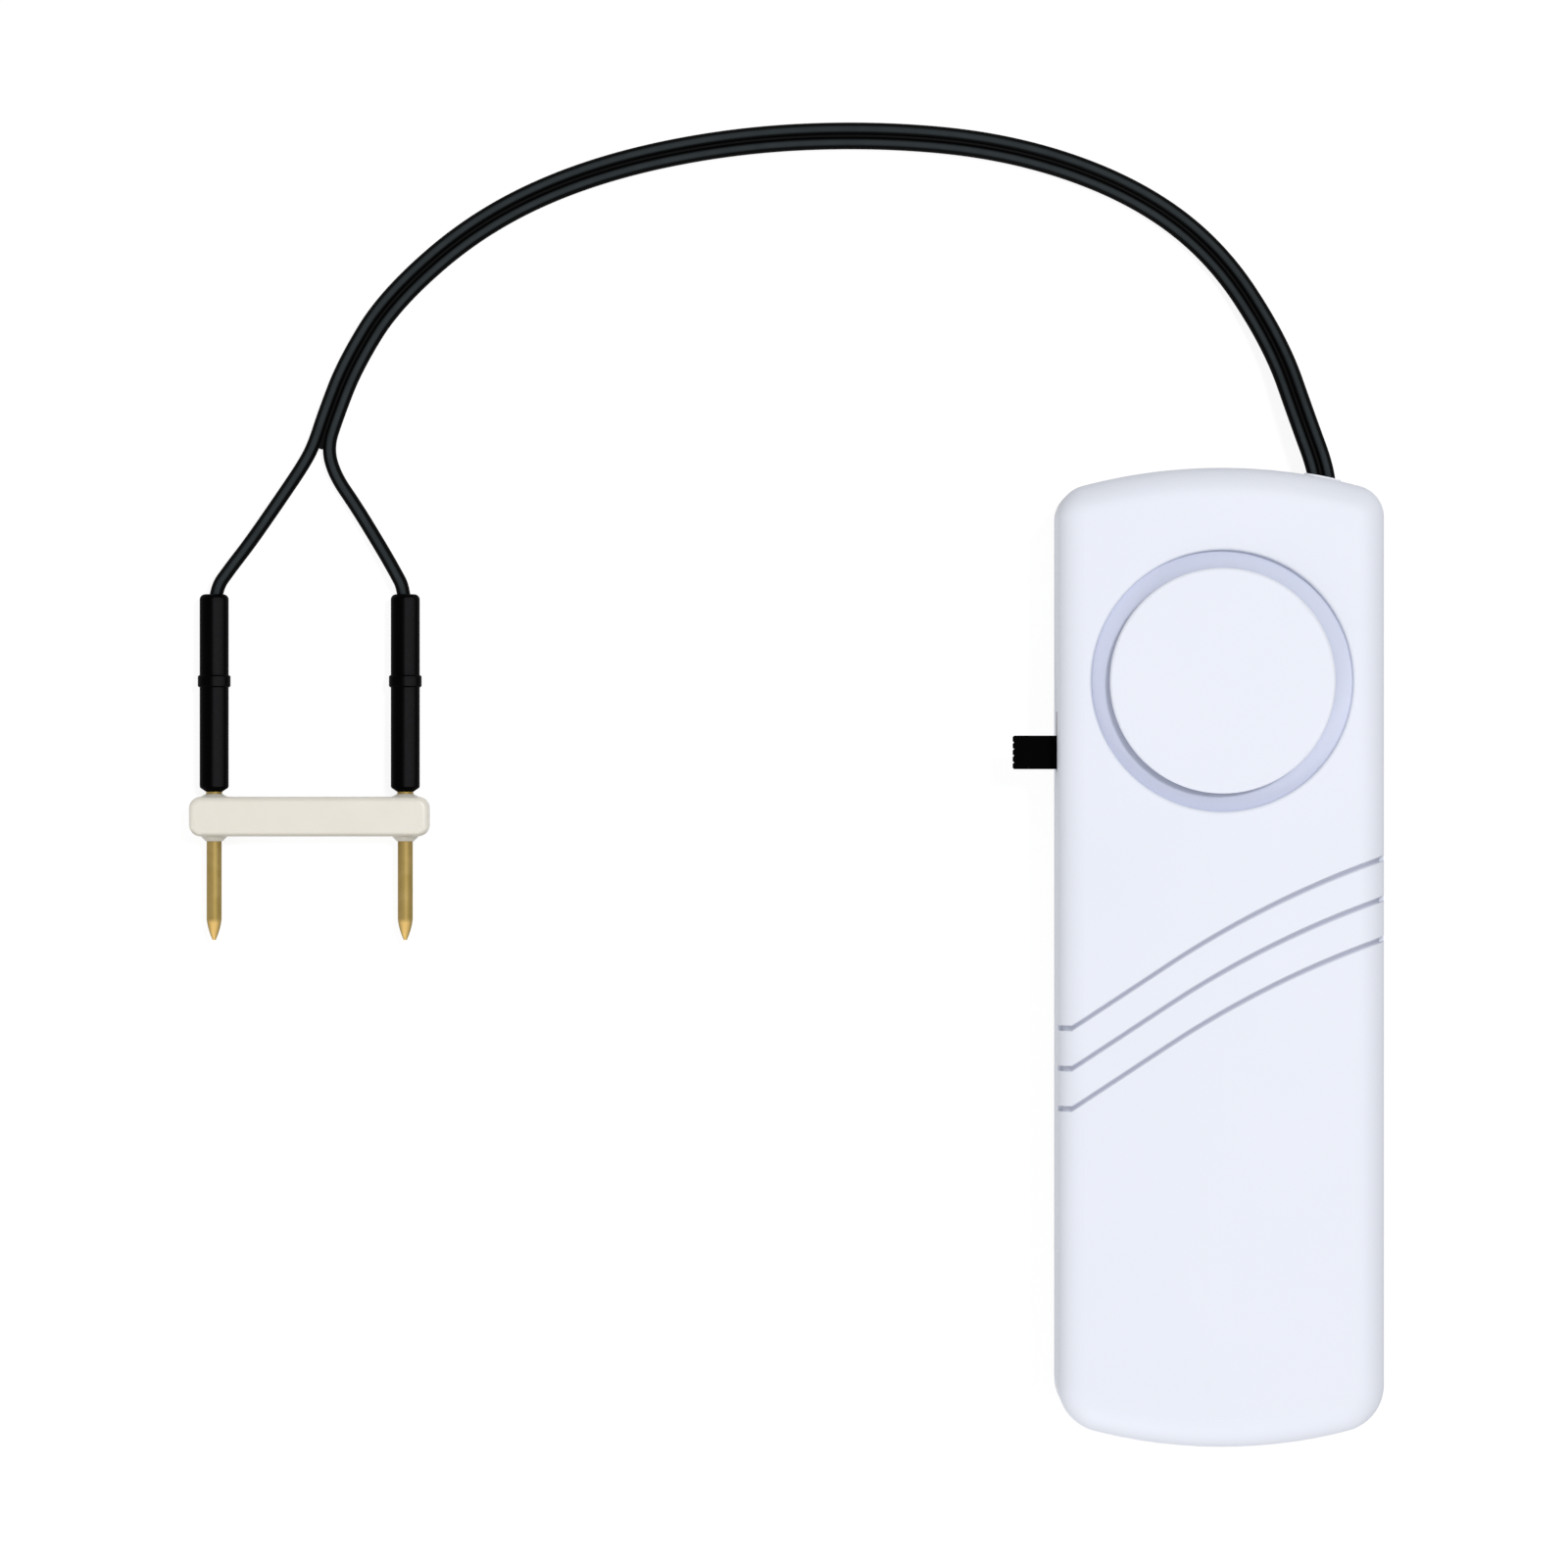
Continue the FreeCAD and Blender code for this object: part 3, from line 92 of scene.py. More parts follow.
# Route of the twin cable's middle line, from the outlet to where its two wires part
twin_route = [
    (0.0098, 0.04338, 0.0045),
    (0.00975, 0.0449, 0.0045),
    (0.00805, 0.0496, 0.0041),
    (0.0056, 0.0570, 0.0022),
    (0.0, 0.06575, 0.0008),
    (-0.00805, 0.0716, 0.00065),
    (-0.0192, 0.0754, 0.00065),
    (-0.0320, 0.0766, 0.00065),
    (-0.0454, 0.07595, 0.00065),
    (-0.0583, 0.07315, 0.00065),
    (-0.0686, 0.0684, 0.00065),
    (-0.0769, 0.0612, 0.00065),
    (-0.0807, 0.0550, 0.00065),
    (-0.0825, 0.0503, 0.00065),
    (-0.0834, 0.0475, 0.00065),
]

# End of the web that joins the two wires, just past the split
web_end = (-0.0835, 0.0472, 0.00065)

# Route of each wire on its own, from the split to its end in the sleeve
branch_route = {
    "left": [
        (-0.0849, 0.0459, 0.00065),
        (-0.0869, 0.0429, 0.0008),
        (-0.0899, 0.0385, 0.0013),
        (-0.0918, 0.0360, 0.00175),
        (-0.09327, 0.0339, 0.0020),
        (-0.09327, 0.0310, 0.0020),
    ],
    "right": [
        (-0.0821, 0.0447, 0.00065),
        (-0.0801, 0.0418, 0.0008),
        (-0.0778, 0.03805, 0.0013),
        (-0.07655, 0.0359, 0.00175),
        (-0.07547, 0.0339, 0.0020),
        (-0.07547, 0.0310, 0.0020),
    ],
}

# Light: a small lamp high on the upper right, a broad low one beyond the foot, and an even white room
lamp_target = (0.0, 0.01, 0.01)
key_place = (0.20, 0.21, 0.86)
key_size = 0.14
key_power = 3.25
fill_place = (-0.35, -0.77, 0.34)
fill_size = 0.5
fill_power = 2.6
room_strength = 0.5
floor_drop = 0.02 * MM
floor_half_width = 1.6
floor_paper = "#C0C0C0"
floor_shade_share = 0.2
floor_glow = 0.87


def make_camera():
    camera = bpy.data.objects.new("camera", bpy.data.cameras.new("camera"))
    camera.location = camera_place
    camera.data.lens = camera_lens
    camera.data.sensor_width = camera_sensor
    camera.data.clip_start = camera_nearest
    bpy.context.scene.collection.objects.link(camera)
    bpy.context.scene.camera = camera


# Nodes and finishes


def linear(colour):
    """An sRGB hex colour, turned to linear."""
    values = [int(colour[start:start + 2], 16) / 255 for start in (1, 3, 5)]
    return (*[v / 12.92 if v <= 0.04045 else ((v + 0.055) / 1.055) ** 2.4 for v in values], 1.0)


def add(tree, kind, inputs=None, **settings):
    """Adds a node with its settings, and sets or links its inputs.

    A Mix node of colours takes its share at input 0 and its colours at 6 and 7, and gives output 2.
    """
    node = tree.nodes.new("ShaderNode" + kind)
    for name, value in settings.items():
        setattr(node, name, value)
    for name, value in (inputs or {}).items():
        if isinstance(value, bpy.types.NodeSocket):
            tree.links.new(value, node.inputs[name])
        else:
            node.inputs[name].default_value = value
    return node


def per(millimetres):
    """The scale of a pattern whose features measure this."""
    return 1 / (millimetres * MM)


def crests(millimetres):
    """The scale of a wave pattern with this much from crest to crest: it turns by 20 radians in a unit."""
    return per(millimetres) * math.tau / 20


def new_finish(name):
    finish = bpy.data.materials.new(name)
    finish.use_nodes = True
    finish.node_tree.nodes.clear()
    where = add(finish.node_tree, "TexCoord").outputs["Object"]
    return finish, finish.node_tree, where


def close(tree, shader):
    add(tree, "OutputMaterial", {"Surface": shader.outputs[0]})


def near_groove(tree, parts):
    """Share of painted shade in a groove of the front: 1 along its middle, less in its level run, and 0
    beside it.
    """
    rise_width = groove_straight * math.cos(groove_rise)
    rise_height = groove_straight * math.sin(groove_rise)
    bend_start = groove_kink + rise_width
    bend_middle = bend_start + groove_bend * math.sin(groove_rise)
    straight = add(tree, "MapRange", {"Value": parts["X"], "From Min": groove_kink, "From Max": bend_start,
                                      "To Max": rise_height}).outputs[0]
    along = add(tree, "Math", {0: parts["X"], 1: bend_start}, operation="MAXIMUM").outputs[0]
    across = add(tree, "Math", {0: along, 1: bend_middle}, operation="SUBTRACT").outputs[0]
    square = add(tree, "Math", {0: across, 1: across}, operation="MULTIPLY").outputs[0]
    under_root = add(tree, "Math", {0: groove_bend ** 2, 1: square}, operation="SUBTRACT").outputs[0]
    bend = add(tree, "Math", {0: under_root}, operation="SQRT").outputs[0]
    lift = groove_foot - groove_bend * math.cos(groove_rise)
    height = add(tree, "Math", {0: straight, 1: bend}, operation="ADD").outputs[0]
    height = add(tree, "Math", {0: height, 1: lift}, operation="ADD").outputs[0]
    above = add(tree, "Math", {0: parts["Y"], 1: height}, operation="SUBTRACT").outputs[0]
    to_nearest = add(tree, "Math", {0: above, 1: groove_pitch / 2}, operation="PINGPONG").outputs[0]
    middle_one = -(groove_count - 1) / 2 * groove_pitch
    in_rows = add(tree, "Math", {0: above, 1: middle_one, 2: groove_count / 2 * groove_pitch},
                  operation="COMPARE").outputs[0]
    on_front = add(tree, "Math", {0: parts["Z"], 1: groove_low}, operation="GREATER_THAN").outputs[0]
    line = add(tree, "MapRange", {"Value": to_nearest, "From Min": groove_reach, "From Max": 0.0},
               interpolation_type="SMOOTHSTEP").outputs[0]
    line = add(tree, "Math", {0: line, 1: in_rows}, operation="MULTIPLY").outputs[0]
    line = add(tree, "Math", {0: line, 1: on_front}, operation="MULTIPLY").outputs[0]
    fade = add(tree, "MapRange", {"Value": parts["X"], "From Min": groove_kink - groove_reach,
                                  "From Max": groove_kink, "To Min": groove_level_share}).outputs[0]
    return add(tree, "Math", {0: line, 1: fade}, operation="MULTIPLY").outputs[0]


def make_housing_abs(name="abs_moulded_satin", is_front=False):
    """ABS moulded in a finely sparked tool: an even cool white with a soft satin sheen.

    On the front, painted shade makes the sunk ring and the grooves a shade greyer,
    the ring most of all on its lower left, away from the light.
    """
    finish, tree, where = new_finish(name)
    cloud = add(tree, "TexNoise", {"Vector": where, "Scale": per(14), "Detail": 2.0}).outputs["Fac"]
    grain = add(tree, "TexNoise", {"Vector": where, "Scale": per(0.3), "Detail": 3.0}).outputs["Fac"]
    colour = add(tree, "Mix", {0: cloud, 6: linear("#E8ECF6"), 7: linear("#ECEFF9")}, data_type="RGBA")
    colour = colour.outputs[2]
    if is_front:
        # Painted shade in the sunk ring, greyer on its lower left, away from the light
        place = add(tree, "Mapping", {"Vector": where, "Location": (-ring_axis[0], -ring_axis[1], 0.0)})
        parts = add(tree, "SeparateXYZ", {"Vector": place.outputs[0]}).outputs
        plan = add(tree, "CombineXYZ", {"X": parts["X"], "Y": parts["Y"]}).outputs[0]
        radius = add(tree, "VectorMath", {0: plan}, operation="LENGTH").outputs["Value"]
        inside = add(tree, "Math", {0: radius, 1: ring_edge}, operation="LESS_THAN").outputs[0]
        depth = add(tree, "MapRange", {"Value": parts["Z"], "From Min": ring_rim_top,
                                       "From Max": ring_floor_top}).outputs[0]
        painted_ring_shade = add(tree, "Math", {0: inside, 1: depth}, operation="MULTIPLY").outputs[0]
        to_key = add(tree, "VectorMath", {0: plan, 1: ring_light_side}, operation="DOT_PRODUCT")
        turned = add(tree, "MapRange", {"Value": to_key.outputs["Value"], "From Min": -ring_edge,
                                        "From Max": ring_edge}).outputs[0]
        shade = add(tree, "Mix", {0: turned, 6: linear("#C9CEE2"), 7: linear("#D8DDEF")}, data_type="RGBA")
        colour = add(tree, "Mix", {0: painted_ring_shade, 6: colour, 7: shade.outputs[2]}, data_type="RGBA").outputs[2]
        # Painted shade along the grooves
        painted_groove_shade = near_groove(tree, add(tree, "SeparateXYZ", {"Vector": where}).outputs)
        colour = add(tree, "Mix", {0: painted_groove_shade, 6: colour, 7: linear("#B5B8C8")}, data_type="RGBA")
        colour = colour.outputs[2]
    rough = add(tree, "MapRange", {"Value": grain, "To Min": 0.48, "To Max": 0.6})
    bump = add(tree, "Bump", {"Height": grain, "Strength": 0.25, "Distance": 0.004 * MM})
    close(tree, add(tree, "BsdfPrincipled", {
        "Base Color": colour,
        "Roughness": rough.outputs[0],
        "IOR": 1.53,
        "Specular IOR Level": 0.3,
        "Normal": bump.outputs[0],
    }))
    return finish


def make_grommet_pvc():
    """Soft white PVC: a little cloudier and duller than the shells."""
    finish, tree, where = new_finish("pvc_soft_white")
    cloud = add(tree, "TexNoise", {"Vector": where, "Scale": per(1.5), "Detail": 2.0}).outputs["Fac"]
    colour = add(tree, "Mix", {0: cloud, 6: linear("#ECEEF4"), 7: linear("#F8F9FC")}, data_type="RGBA")
    bump = add(tree, "Bump", {"Height": cloud, "Strength": 0.2, "Distance": 0.01 * MM})
    close(tree, add(tree, "BsdfPrincipled", {
        "Base Color": colour.outputs[2],
        "Roughness": 0.55,
        "IOR": 1.53,
        "Normal": bump.outputs[0],
    }))
    return finish


def make_zinc_steel():
    """Zinc plated steel: grey with a faint blue and fine marks from the barrel."""
    finish, tree, where = new_finish("steel_zinc_plated")
    marks = add(tree, "TexNoise", {"Vector": where, "Scale": per(0.25), "Detail": 4.0}).outputs["Fac"]
    colour = add(tree, "Mix", {0: marks, 6: linear("#9DA1A6"), 7: linear("#C9CCD0")}, data_type="RGBA")
    rough = add(tree, "MapRange", {"Value": marks, "To Min": 0.24, "To Max": 0.42})
    bump = add(tree, "Bump", {"Height": marks, "Strength": 0.2, "Distance": 0.006 * MM})
    close(tree, add(tree, "BsdfPrincipled", {
        "Base Color": colour.outputs[2],
        "Metallic": 1.0,
        "Roughness": rough.outputs[0],
        "Normal": bump.outputs[0],
    }))
    return finish


def make_rolled_brass():
    """Rolled brass sheet: warm yellow with long fine rolling lines."""
    finish, tree, where = new_finish("brass_rolled")
    along = add(tree, "Mapping", {"Vector": where, "Scale": (0.05, 1.0, 1.0)}).outputs[0]
    lines = add(tree, "TexNoise", {"Vector": along, "Scale": per(0.15), "Detail": 3.0}).outputs["Fac"]
    colour = add(tree, "Mix", {0: lines, 6: linear("#C6A052"), 7: linear("#DDBE78")}, data_type="RGBA")
    bump = add(tree, "Bump", {"Height": lines, "Strength": 0.2, "Distance": 0.003 * MM})
    close(tree, add(tree, "BsdfPrincipled", {
        "Base Color": colour.outputs[2],
        "Metallic": 1.0,
        "Roughness": 0.28,
        "Normal": bump.outputs[0],
    }))
    return finish


def make_silvered_ceramic():
    """Lead zirconate ceramic with a fired silver face: pale, chalky and faintly mottled."""
    finish, tree, where = new_finish("ceramic_silvered")
    grit = add(tree, "TexNoise", {"Vector": where, "Scale": per(0.4), "Detail": 4.0}).outputs["Fac"]
    colour = add(tree, "Mix", {0: grit, 6: linear("#CFCCC3"), 7: linear("#EBE8DF")}, data_type="RGBA")
    bump = add(tree, "Bump", {"Height": grit, "Strength": 0.3, "Distance": 0.008 * MM})
    close(tree, add(tree, "BsdfPrincipled", {
        "Base Color": colour.outputs[2],
        "Metallic": 0.5,
        "Roughness": 0.5,
        "Normal": bump.outputs[0],
    }))
    return finish


def make_board_laminate():
    """Glass epoxy laminate under green solder mask: paler green over the copper tracks."""
    finish, tree, where = new_finish("laminate_solder_mask")
    tracks = add(tree, "TexBrick", {
        "Vector": where,
        "Scale": per(3.2),
        "Mortar Size": 0.045,
        "Color1": linear("#1B6A38"),
        "Color2": linear("#1F7440"),
        "Mortar": linear("#0F4525"),
    })
    weave = add(tree, "TexNoise", {"Vector": where, "Scale": per(0.35), "Detail": 2.0}).outputs["Fac"]
    bump = add(tree, "Bump", {"Height": tracks.outputs["Fac"], "Strength": 0.5, "Distance": -0.03 * MM})
    fine = add(tree, "Bump", {"Height": weave, "Strength": 0.15, "Distance": 0.005 * MM,
                              "Normal": bump.outputs[0]})
    close(tree, add(tree, "BsdfPrincipled", {
        "Base Color": tracks.outputs["Color"],
        "Roughness": 0.3,
        "IOR": 1.55,
        "Normal": fine.outputs[0],
    }))
    return finish


def make_chip_epoxy():
    """Moulded epoxy: matte black with a fine sandy grain."""
    finish, tree, where = new_finish("epoxy_moulded")
    grain = add(tree, "TexNoise", {"Vector": where, "Scale": per(0.12), "Detail": 3.0}).outputs["Fac"]
    colour = add(tree, "Mix", {0: grain, 6: linear("#1B1C1E"), 7: linear("#2A2B2D")}, data_type="RGBA")
    bump = add(tree, "Bump", {"Height": grain, "Strength": 0.4, "Distance": 0.006 * MM})
    close(tree, add(tree, "BsdfPrincipled", {
        "Base Color": colour.outputs[2],
        "Roughness": 0.62,
        "Normal": bump.outputs[0],
    }))
    return finish


def make_ferrite():
    """Sintered ferrite: dark grey, hard and dull, with tiny pores."""
    finish, tree, where = new_finish("ferrite_sintered")
    pores = add(tree, "TexVoronoi", {"Vector": where, "Scale": per(0.3)}).outputs["Distance"]
    colour = add(tree, "Mix", {0: pores, 6: linear("#2E3033"), 7: linear("#45474B")}, data_type="RGBA")
    bump = add(tree, "Bump", {"Height": pores, "Strength": 0.3, "Distance": 0.01 * MM})
    close(tree, add(tree, "BsdfPrincipled", {
        "Base Color": colour.outputs[2],
        "Roughness": 0.5,
        "Normal": bump.outputs[0],
    }))
    return finish


def make_wound_copper():
    """Enamelled copper wire wound in layers: a red brown metal in rings 0.25 mm apart."""
    finish, tree, where = new_finish("copper_enamelled_winding")
    turns = add(tree, "TexWave", {"Vector": where, "Scale": crests(0.25), "Distortion": 0.4},
                bands_direction="Z").outputs["Fac"]
    colour = add(tree, "Mix", {0: turns, 6: linear("#7C3B1C"), 7: linear("#C9743F")}, data_type="RGBA")
    bump = add(tree, "Bump", {"Height": turns, "Strength": 0.8, "Distance": 0.05 * MM})
    close(tree, add(tree, "BsdfPrincipled", {
        "Base Color": colour.outputs[2],
        "Metallic": 1.0,
        "Roughness": 0.26,
        "Normal": bump.outputs[0],
    }))
    return finish


def make_drawn_can():
    """Drawn aluminium can: bright grey with upright drawing lines."""
    finish, tree, where = new_finish("aluminium_drawn_can")
    along = add(tree, "Mapping", {"Vector": where, "Scale": (1.0, 1.0, 0.06)}).outputs[0]
    lines = add(tree, "TexNoise", {"Vector": along, "Scale": per(0.12), "Detail": 3.0}).outputs["Fac"]
    colour = add(tree, "Mix", {0: lines, 6: linear("#B4B7BC"), 7: linear("#D9DBDE")}, data_type="RGBA")
    bump = add(tree, "Bump", {"Height": lines, "Strength": 0.2, "Distance": 0.004 * MM})
    close(tree, add(tree, "BsdfPrincipled", {
        "Base Color": colour.outputs[2],
        "Metallic": 1.0,
        "Roughness": 0.3,
        "Normal": bump.outputs[0],
    }))
    return finish


def make_chip_part(node, name, body_colour):
    """Fired ceramic chip part with tinned ends, each 0.3 mm long."""
    finish, tree, where = new_finish(name)
    low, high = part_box(node)
    middle = (low.y + high.y) / 2
    tin_from = (high.y - low.y) / 2 - chip_tin_length
    across = add(tree, "SeparateXYZ", {"Vector": where}).outputs["Y"]
    shifted = add(tree, "Math", {0: across, 1: middle}, operation="SUBTRACT").outputs[0]
    away = add(tree, "Math", {0: shifted}, operation="ABSOLUTE").outputs[0]
    on_end = add(tree, "Math", {0: away, 1: tin_from}, operation="GREATER_THAN").outputs[0]
    colour = add(tree, "Mix", {0: on_end, 6: linear(body_colour), 7: linear("#C4C6C8")}, data_type="RGBA")
    grain = add(tree, "TexNoise", {"Vector": where, "Scale": per(0.1), "Detail": 2.0}).outputs["Fac"]
    bump = add(tree, "Bump", {"Height": grain, "Strength": 0.3, "Distance": 0.005 * MM})
    close(tree, add(tree, "BsdfPrincipled", {
        "Base Color": colour.outputs[2],
        "Metallic": on_end,
        "Roughness": 0.4,
        "Normal": bump.outputs[0],
    }))
    return finish


def make_tinned_steel():
    """Tinned sheet steel: pale grey, softly mirrored, with a light crystal pattern."""
    finish, tree, where = new_finish("steel_tinned_sheet")
    crystals = add(tree, "TexVoronoi", {"Vector": where, "Scale": per(0.8)}).outputs["Color"]
    colour = add(tree, "Mix", {0: crystals, 6: linear("#AEB1B4"), 7: linear("#CDD0D2")}, data_type="RGBA")
    rough = add(tree, "MapRange", {"Value": crystals, "To Min": 0.22, "To Max": 0.38})
    close(tree, add(tree, "BsdfPrincipled", {
        "Base Color": colour.outputs[2],
        "Metallic": 1.0,
        "Roughness": rough.outputs[0],
    }))
    return finish


def make_knob_nylon():
    """Moulded black nylon: deep black, with a fine matte grain."""
    finish, tree, where = new_finish("nylon_moulded_black")
    grain = add(tree, "TexNoise", {"Vector": where, "Scale": per(0.18), "Detail": 3.0}).outputs["Fac"]
    colour = add(tree, "Mix", {0: grain, 6: linear("#010101"), 7: linear("#040404")}, data_type="RGBA")
    bump = add(tree, "Bump", {"Height": grain, "Strength": 0.4, "Distance": 0.008 * MM})
    close(tree, add(tree, "BsdfPrincipled", {
        "Base Color": colour.outputs[2],
        "Roughness": 0.6,
        "Specular IOR Level": 0.01,
        "Normal": bump.outputs[0],
    }))
    return finish


def make_spring_bronze():
    """Spring bronze strip: pale copper red, with lines from rolling."""
    finish, tree, where = new_finish("bronze_spring_strip")
    along = add(tree, "Mapping", {"Vector": where, "Scale": (1.0, 0.08, 1.0)}).outputs[0]
    lines = add(tree, "TexNoise", {"Vector": along, "Scale": per(0.12), "Detail": 3.0}).outputs["Fac"]
    colour = add(tree, "Mix", {0: lines, 6: linear("#C08A55"), 7: linear("#DDB07D")}, data_type="RGBA")
    close(tree, add(tree, "BsdfPrincipled", {
        "Base Color": colour.outputs[2],
        "Metallic": 1.0,
        "Roughness": 0.3,
    }))
    return finish


def make_phenolic_paper():
    """Phenolic paper board: brown and slightly fibrous."""
    finish, tree, where = new_finish("phenolic_paper")
    along = add(tree, "Mapping", {"Vector": where, "Scale": (1.0, 0.2, 1.0)}).outputs[0]
    fibres = add(tree, "TexNoise", {"Vector": along, "Scale": per(0.3), "Detail": 4.0}).outputs["Fac"]
    colour = add(tree, "Mix", {0: fibres, 6: linear("#8A5A2B"), 7: linear("#B98248")}, data_type="RGBA")
    bump = add(tree, "Bump", {"Height": fibres, "Strength": 0.3, "Distance": 0.01 * MM})
    close(tree, add(tree, "BsdfPrincipled", {
        "Base Color": colour.outputs[2],
        "Roughness": 0.5,
        "Normal": bump.outputs[0],
    }))
    return finish


def make_nickel_strip():
    """Nickel plated spring steel: bright, warm grey, brushed along the strip."""
    finish, tree, where = new_finish("nickel_plated_strip")
    along = add(tree, "Mapping", {"Vector": where, "Scale": (0.08, 1.0, 1.0)}).outputs[0]
    lines = add(tree, "TexNoise", {"Vector": along, "Scale": per(0.12), "Detail": 3.0}).outputs["Fac"]
    colour = add(tree, "Mix", {0: lines, 6: linear("#B3B0A9"), 7: linear("#D4D1CA")}, data_type="RGBA")
    rough = add(tree, "MapRange", {"Value": lines, "To Min": 0.2, "To Max": 0.36})
    close(tree, add(tree, "BsdfPrincipled", {
        "Base Color": colour.outputs[2],
        "Metallic": 1.0,
        "Roughness": rough.outputs[0],
    }))
    return finish


def make_cell_can():
    """Nickel plated cell can: mirror bright, with a few hairline scratches."""
    finish, tree, where = new_finish("nickel_cell_can")
    scratches = add(tree, "TexNoise", {"Vector": where, "Scale": per(0.5), "Detail": 6.0,
                                       "Distortion": 1.5}).outputs["Fac"]
    colour = add(tree, "Mix", {0: scratches, 6: linear("#BDBDBB"), 7: linear("#DEDEDC")}, data_type="RGBA")
    rough = add(tree, "MapRange", {"Value": scratches, "To Min": 0.1, "To Max": 0.26})
    close(tree, add(tree, "BsdfPrincipled", {
        "Base Color": colour.outputs[2],
        "Metallic": 1.0,
        "Roughness": rough.outputs[0],
    }))
    return finish


def make_lead_pvc(name, dark, light):
    """PVC insulation on a thin lead: an even colour with a waxy sheen."""
    finish, tree, where = new_finish(name)
    cloud = add(tree, "TexNoise", {"Vector": where, "Scale": per(0.8), "Detail": 2.0}).outputs["Fac"]
    colour = add(tree, "Mix", {0: cloud, 6: linear(dark), 7: linear(light)}, data_type="RGBA")
    bump = add(tree, "Bump", {"Height": cloud, "Strength": 0.15, "Distance": 0.01 * MM})
    close(tree, add(tree, "BsdfPrincipled", {
        "Base Color": colour.outputs[2],
        "Roughness": 0.42,
        "Normal": bump.outputs[0],
    }))
    return finish


def facing(tree, side, steepest, flattest):
    """0 where a surface faces a side by less than the share steepest, and 1 by more than flattest."""
    normal = add(tree, "NewGeometry").outputs["Normal"]
    share = add(tree, "VectorMath", {0: normal, 1: side}, operation="DOT_PRODUCT").outputs["Value"]
    return add(tree, "MapRange", {"Value": share, "From Min": steepest, "From Max": flattest},
               interpolation_type="SMOOTHSTEP").outputs[0]


def make_wire_pvc(name, dull, pale):
    """Black extruded PVC: deep black at its sides, with a cool grey painted highlight on the side that faces
    up.
    """
    finish, tree, where = new_finish(name)
    ripple = add(tree, "TexNoise", {"Vector": where, "Scale": per(1.6), "Detail": 2.0}).outputs["Fac"]
    grain = add(tree, "TexNoise", {"Vector": where, "Scale": per(0.2), "Detail": 2.0}).outputs["Fac"]
    painted_highlight = add(tree, "Mix", {0: ripple, 6: linear(dull), 7: linear(pale)}, data_type="RGBA")
    # Painted highlight: the faces that point up are mixed to a cool grey
    on_top = facing(tree, (0.0, 0.0, 1.0), 0.83, 1.0)
    colour = add(tree, "Mix", {0: on_top, 6: linear("#020202"), 7: painted_highlight.outputs[2]}, data_type="RGBA")
    rough = add(tree, "MapRange", {"Value": grain, "To Min": 0.42, "To Max": 0.54})
    bump = add(tree, "Bump", {"Height": grain, "Strength": 0.2, "Distance": 0.006 * MM})
    close(tree, add(tree, "BsdfPrincipled", {
        "Base Color": colour.outputs[2],
        "Roughness": rough.outputs[0],
        "Specular IOR Level": 0.03,
        "Normal": bump.outputs[0],
    }))
    return finish


def make_stranded_copper():
    """Bare copper strands, twisted: slanting threads 0.2 mm apart."""
    finish, tree, where = new_finish("copper_stranded")
    turned = add(tree, "Mapping", {"Vector": where, "Rotation": (0.0, 0.0, strand_slant)}).outputs[0]
    strands = add(tree, "TexWave", {"Vector": turned, "Scale": crests(0.2)}).outputs["Fac"]
    colour = add(tree, "Mix", {0: strands, 6: linear("#8F4A26"), 7: linear("#D98C5A")}, data_type="RGBA")
    bump = add(tree, "Bump", {"Height": strands, "Strength": 0.8, "Distance": 0.04 * MM})
    close(tree, add(tree, "BsdfPrincipled", {
        "Base Color": colour.outputs[2],
        "Metallic": 1.0,
        "Roughness": 0.3,
        "Normal": bump.outputs[0],
    }))
    return finish


def make_sleeve_tubing():
    """Heat-shrunk polyolefin: a matte black, with a faint grey painted highlight right of its crest."""
    finish, tree, where = new_finish("polyolefin_heat_shrunk")
    skin = add(tree, "TexNoise", {"Vector": where, "Scale": per(0.35), "Detail": 3.0}).outputs["Fac"]
    painted_highlight = add(tree, "Mix", {0: skin, 6: linear("#19191A"), 7: linear("#222224")}, data_type="RGBA")
    # Painted highlight on the faces a little right of the top
    right_of_top = facing(tree, (0.34, 0.0, 0.94), 0.85, 1.0)
    colour = add(tree, "Mix", {0: right_of_top, 6: linear("#010101"), 7: painted_highlight.outputs[2]}, data_type="RGBA")
    rough = add(tree, "MapRange", {"Value": skin, "To Min": 0.42, "To Max": 0.55})
    bump = add(tree, "Bump", {"Height": skin, "Strength": 0.35, "Distance": 0.012 * MM})
    close(tree, add(tree, "BsdfPrincipled", {
        "Base Color": colour.outputs[2],
        "Roughness": rough.outputs[0],
        "Specular IOR Level": 0.015,
        "Normal": bump.outputs[0],
    }))
    return finish


def make_probe_nylon():
    """Natural nylon, moulded: a cream white that lets a little light in, with painted shade along its low
    edge.
    """
    finish, tree, where = new_finish("nylon_natural_moulded")
    cloud = add(tree, "TexNoise", {"Vector": where, "Scale": per(5), "Detail": 2.0}).outputs["Fac"]
    grain = add(tree, "TexNoise", {"Vector": where, "Scale": per(0.4), "Detail": 2.0}).outputs["Fac"]
    body = add(tree, "Mix", {0: cloud, 6: linear("#E2DDD0"), 7: linear("#ECE8DE")}, data_type="RGBA")
    # Painted shade on the faces that point towards the foot
    painted_low_shade = facing(tree, (0.0, -1.0, 0.0), 0.15, 0.75)
    colour = add(tree, "Mix", {0: painted_low_shade, 6: body.outputs[2], 7: linear("#BDB8AC")}, data_type="RGBA")
    bump = add(tree, "Bump", {"Height": grain, "Strength": 0.2, "Distance": 0.008 * MM})
    close(tree, add(tree, "BsdfPrincipled", {
        "Base Color": colour.outputs[2],
        "Roughness": 0.34,
        "IOR": 1.53,
        "Subsurface Weight": 0.12,
        "Subsurface Radius": (0.8, 0.7, 0.5),
        "Subsurface Scale": 1.0 * MM,
        "Normal": bump.outputs[0],
    }))
    return finish


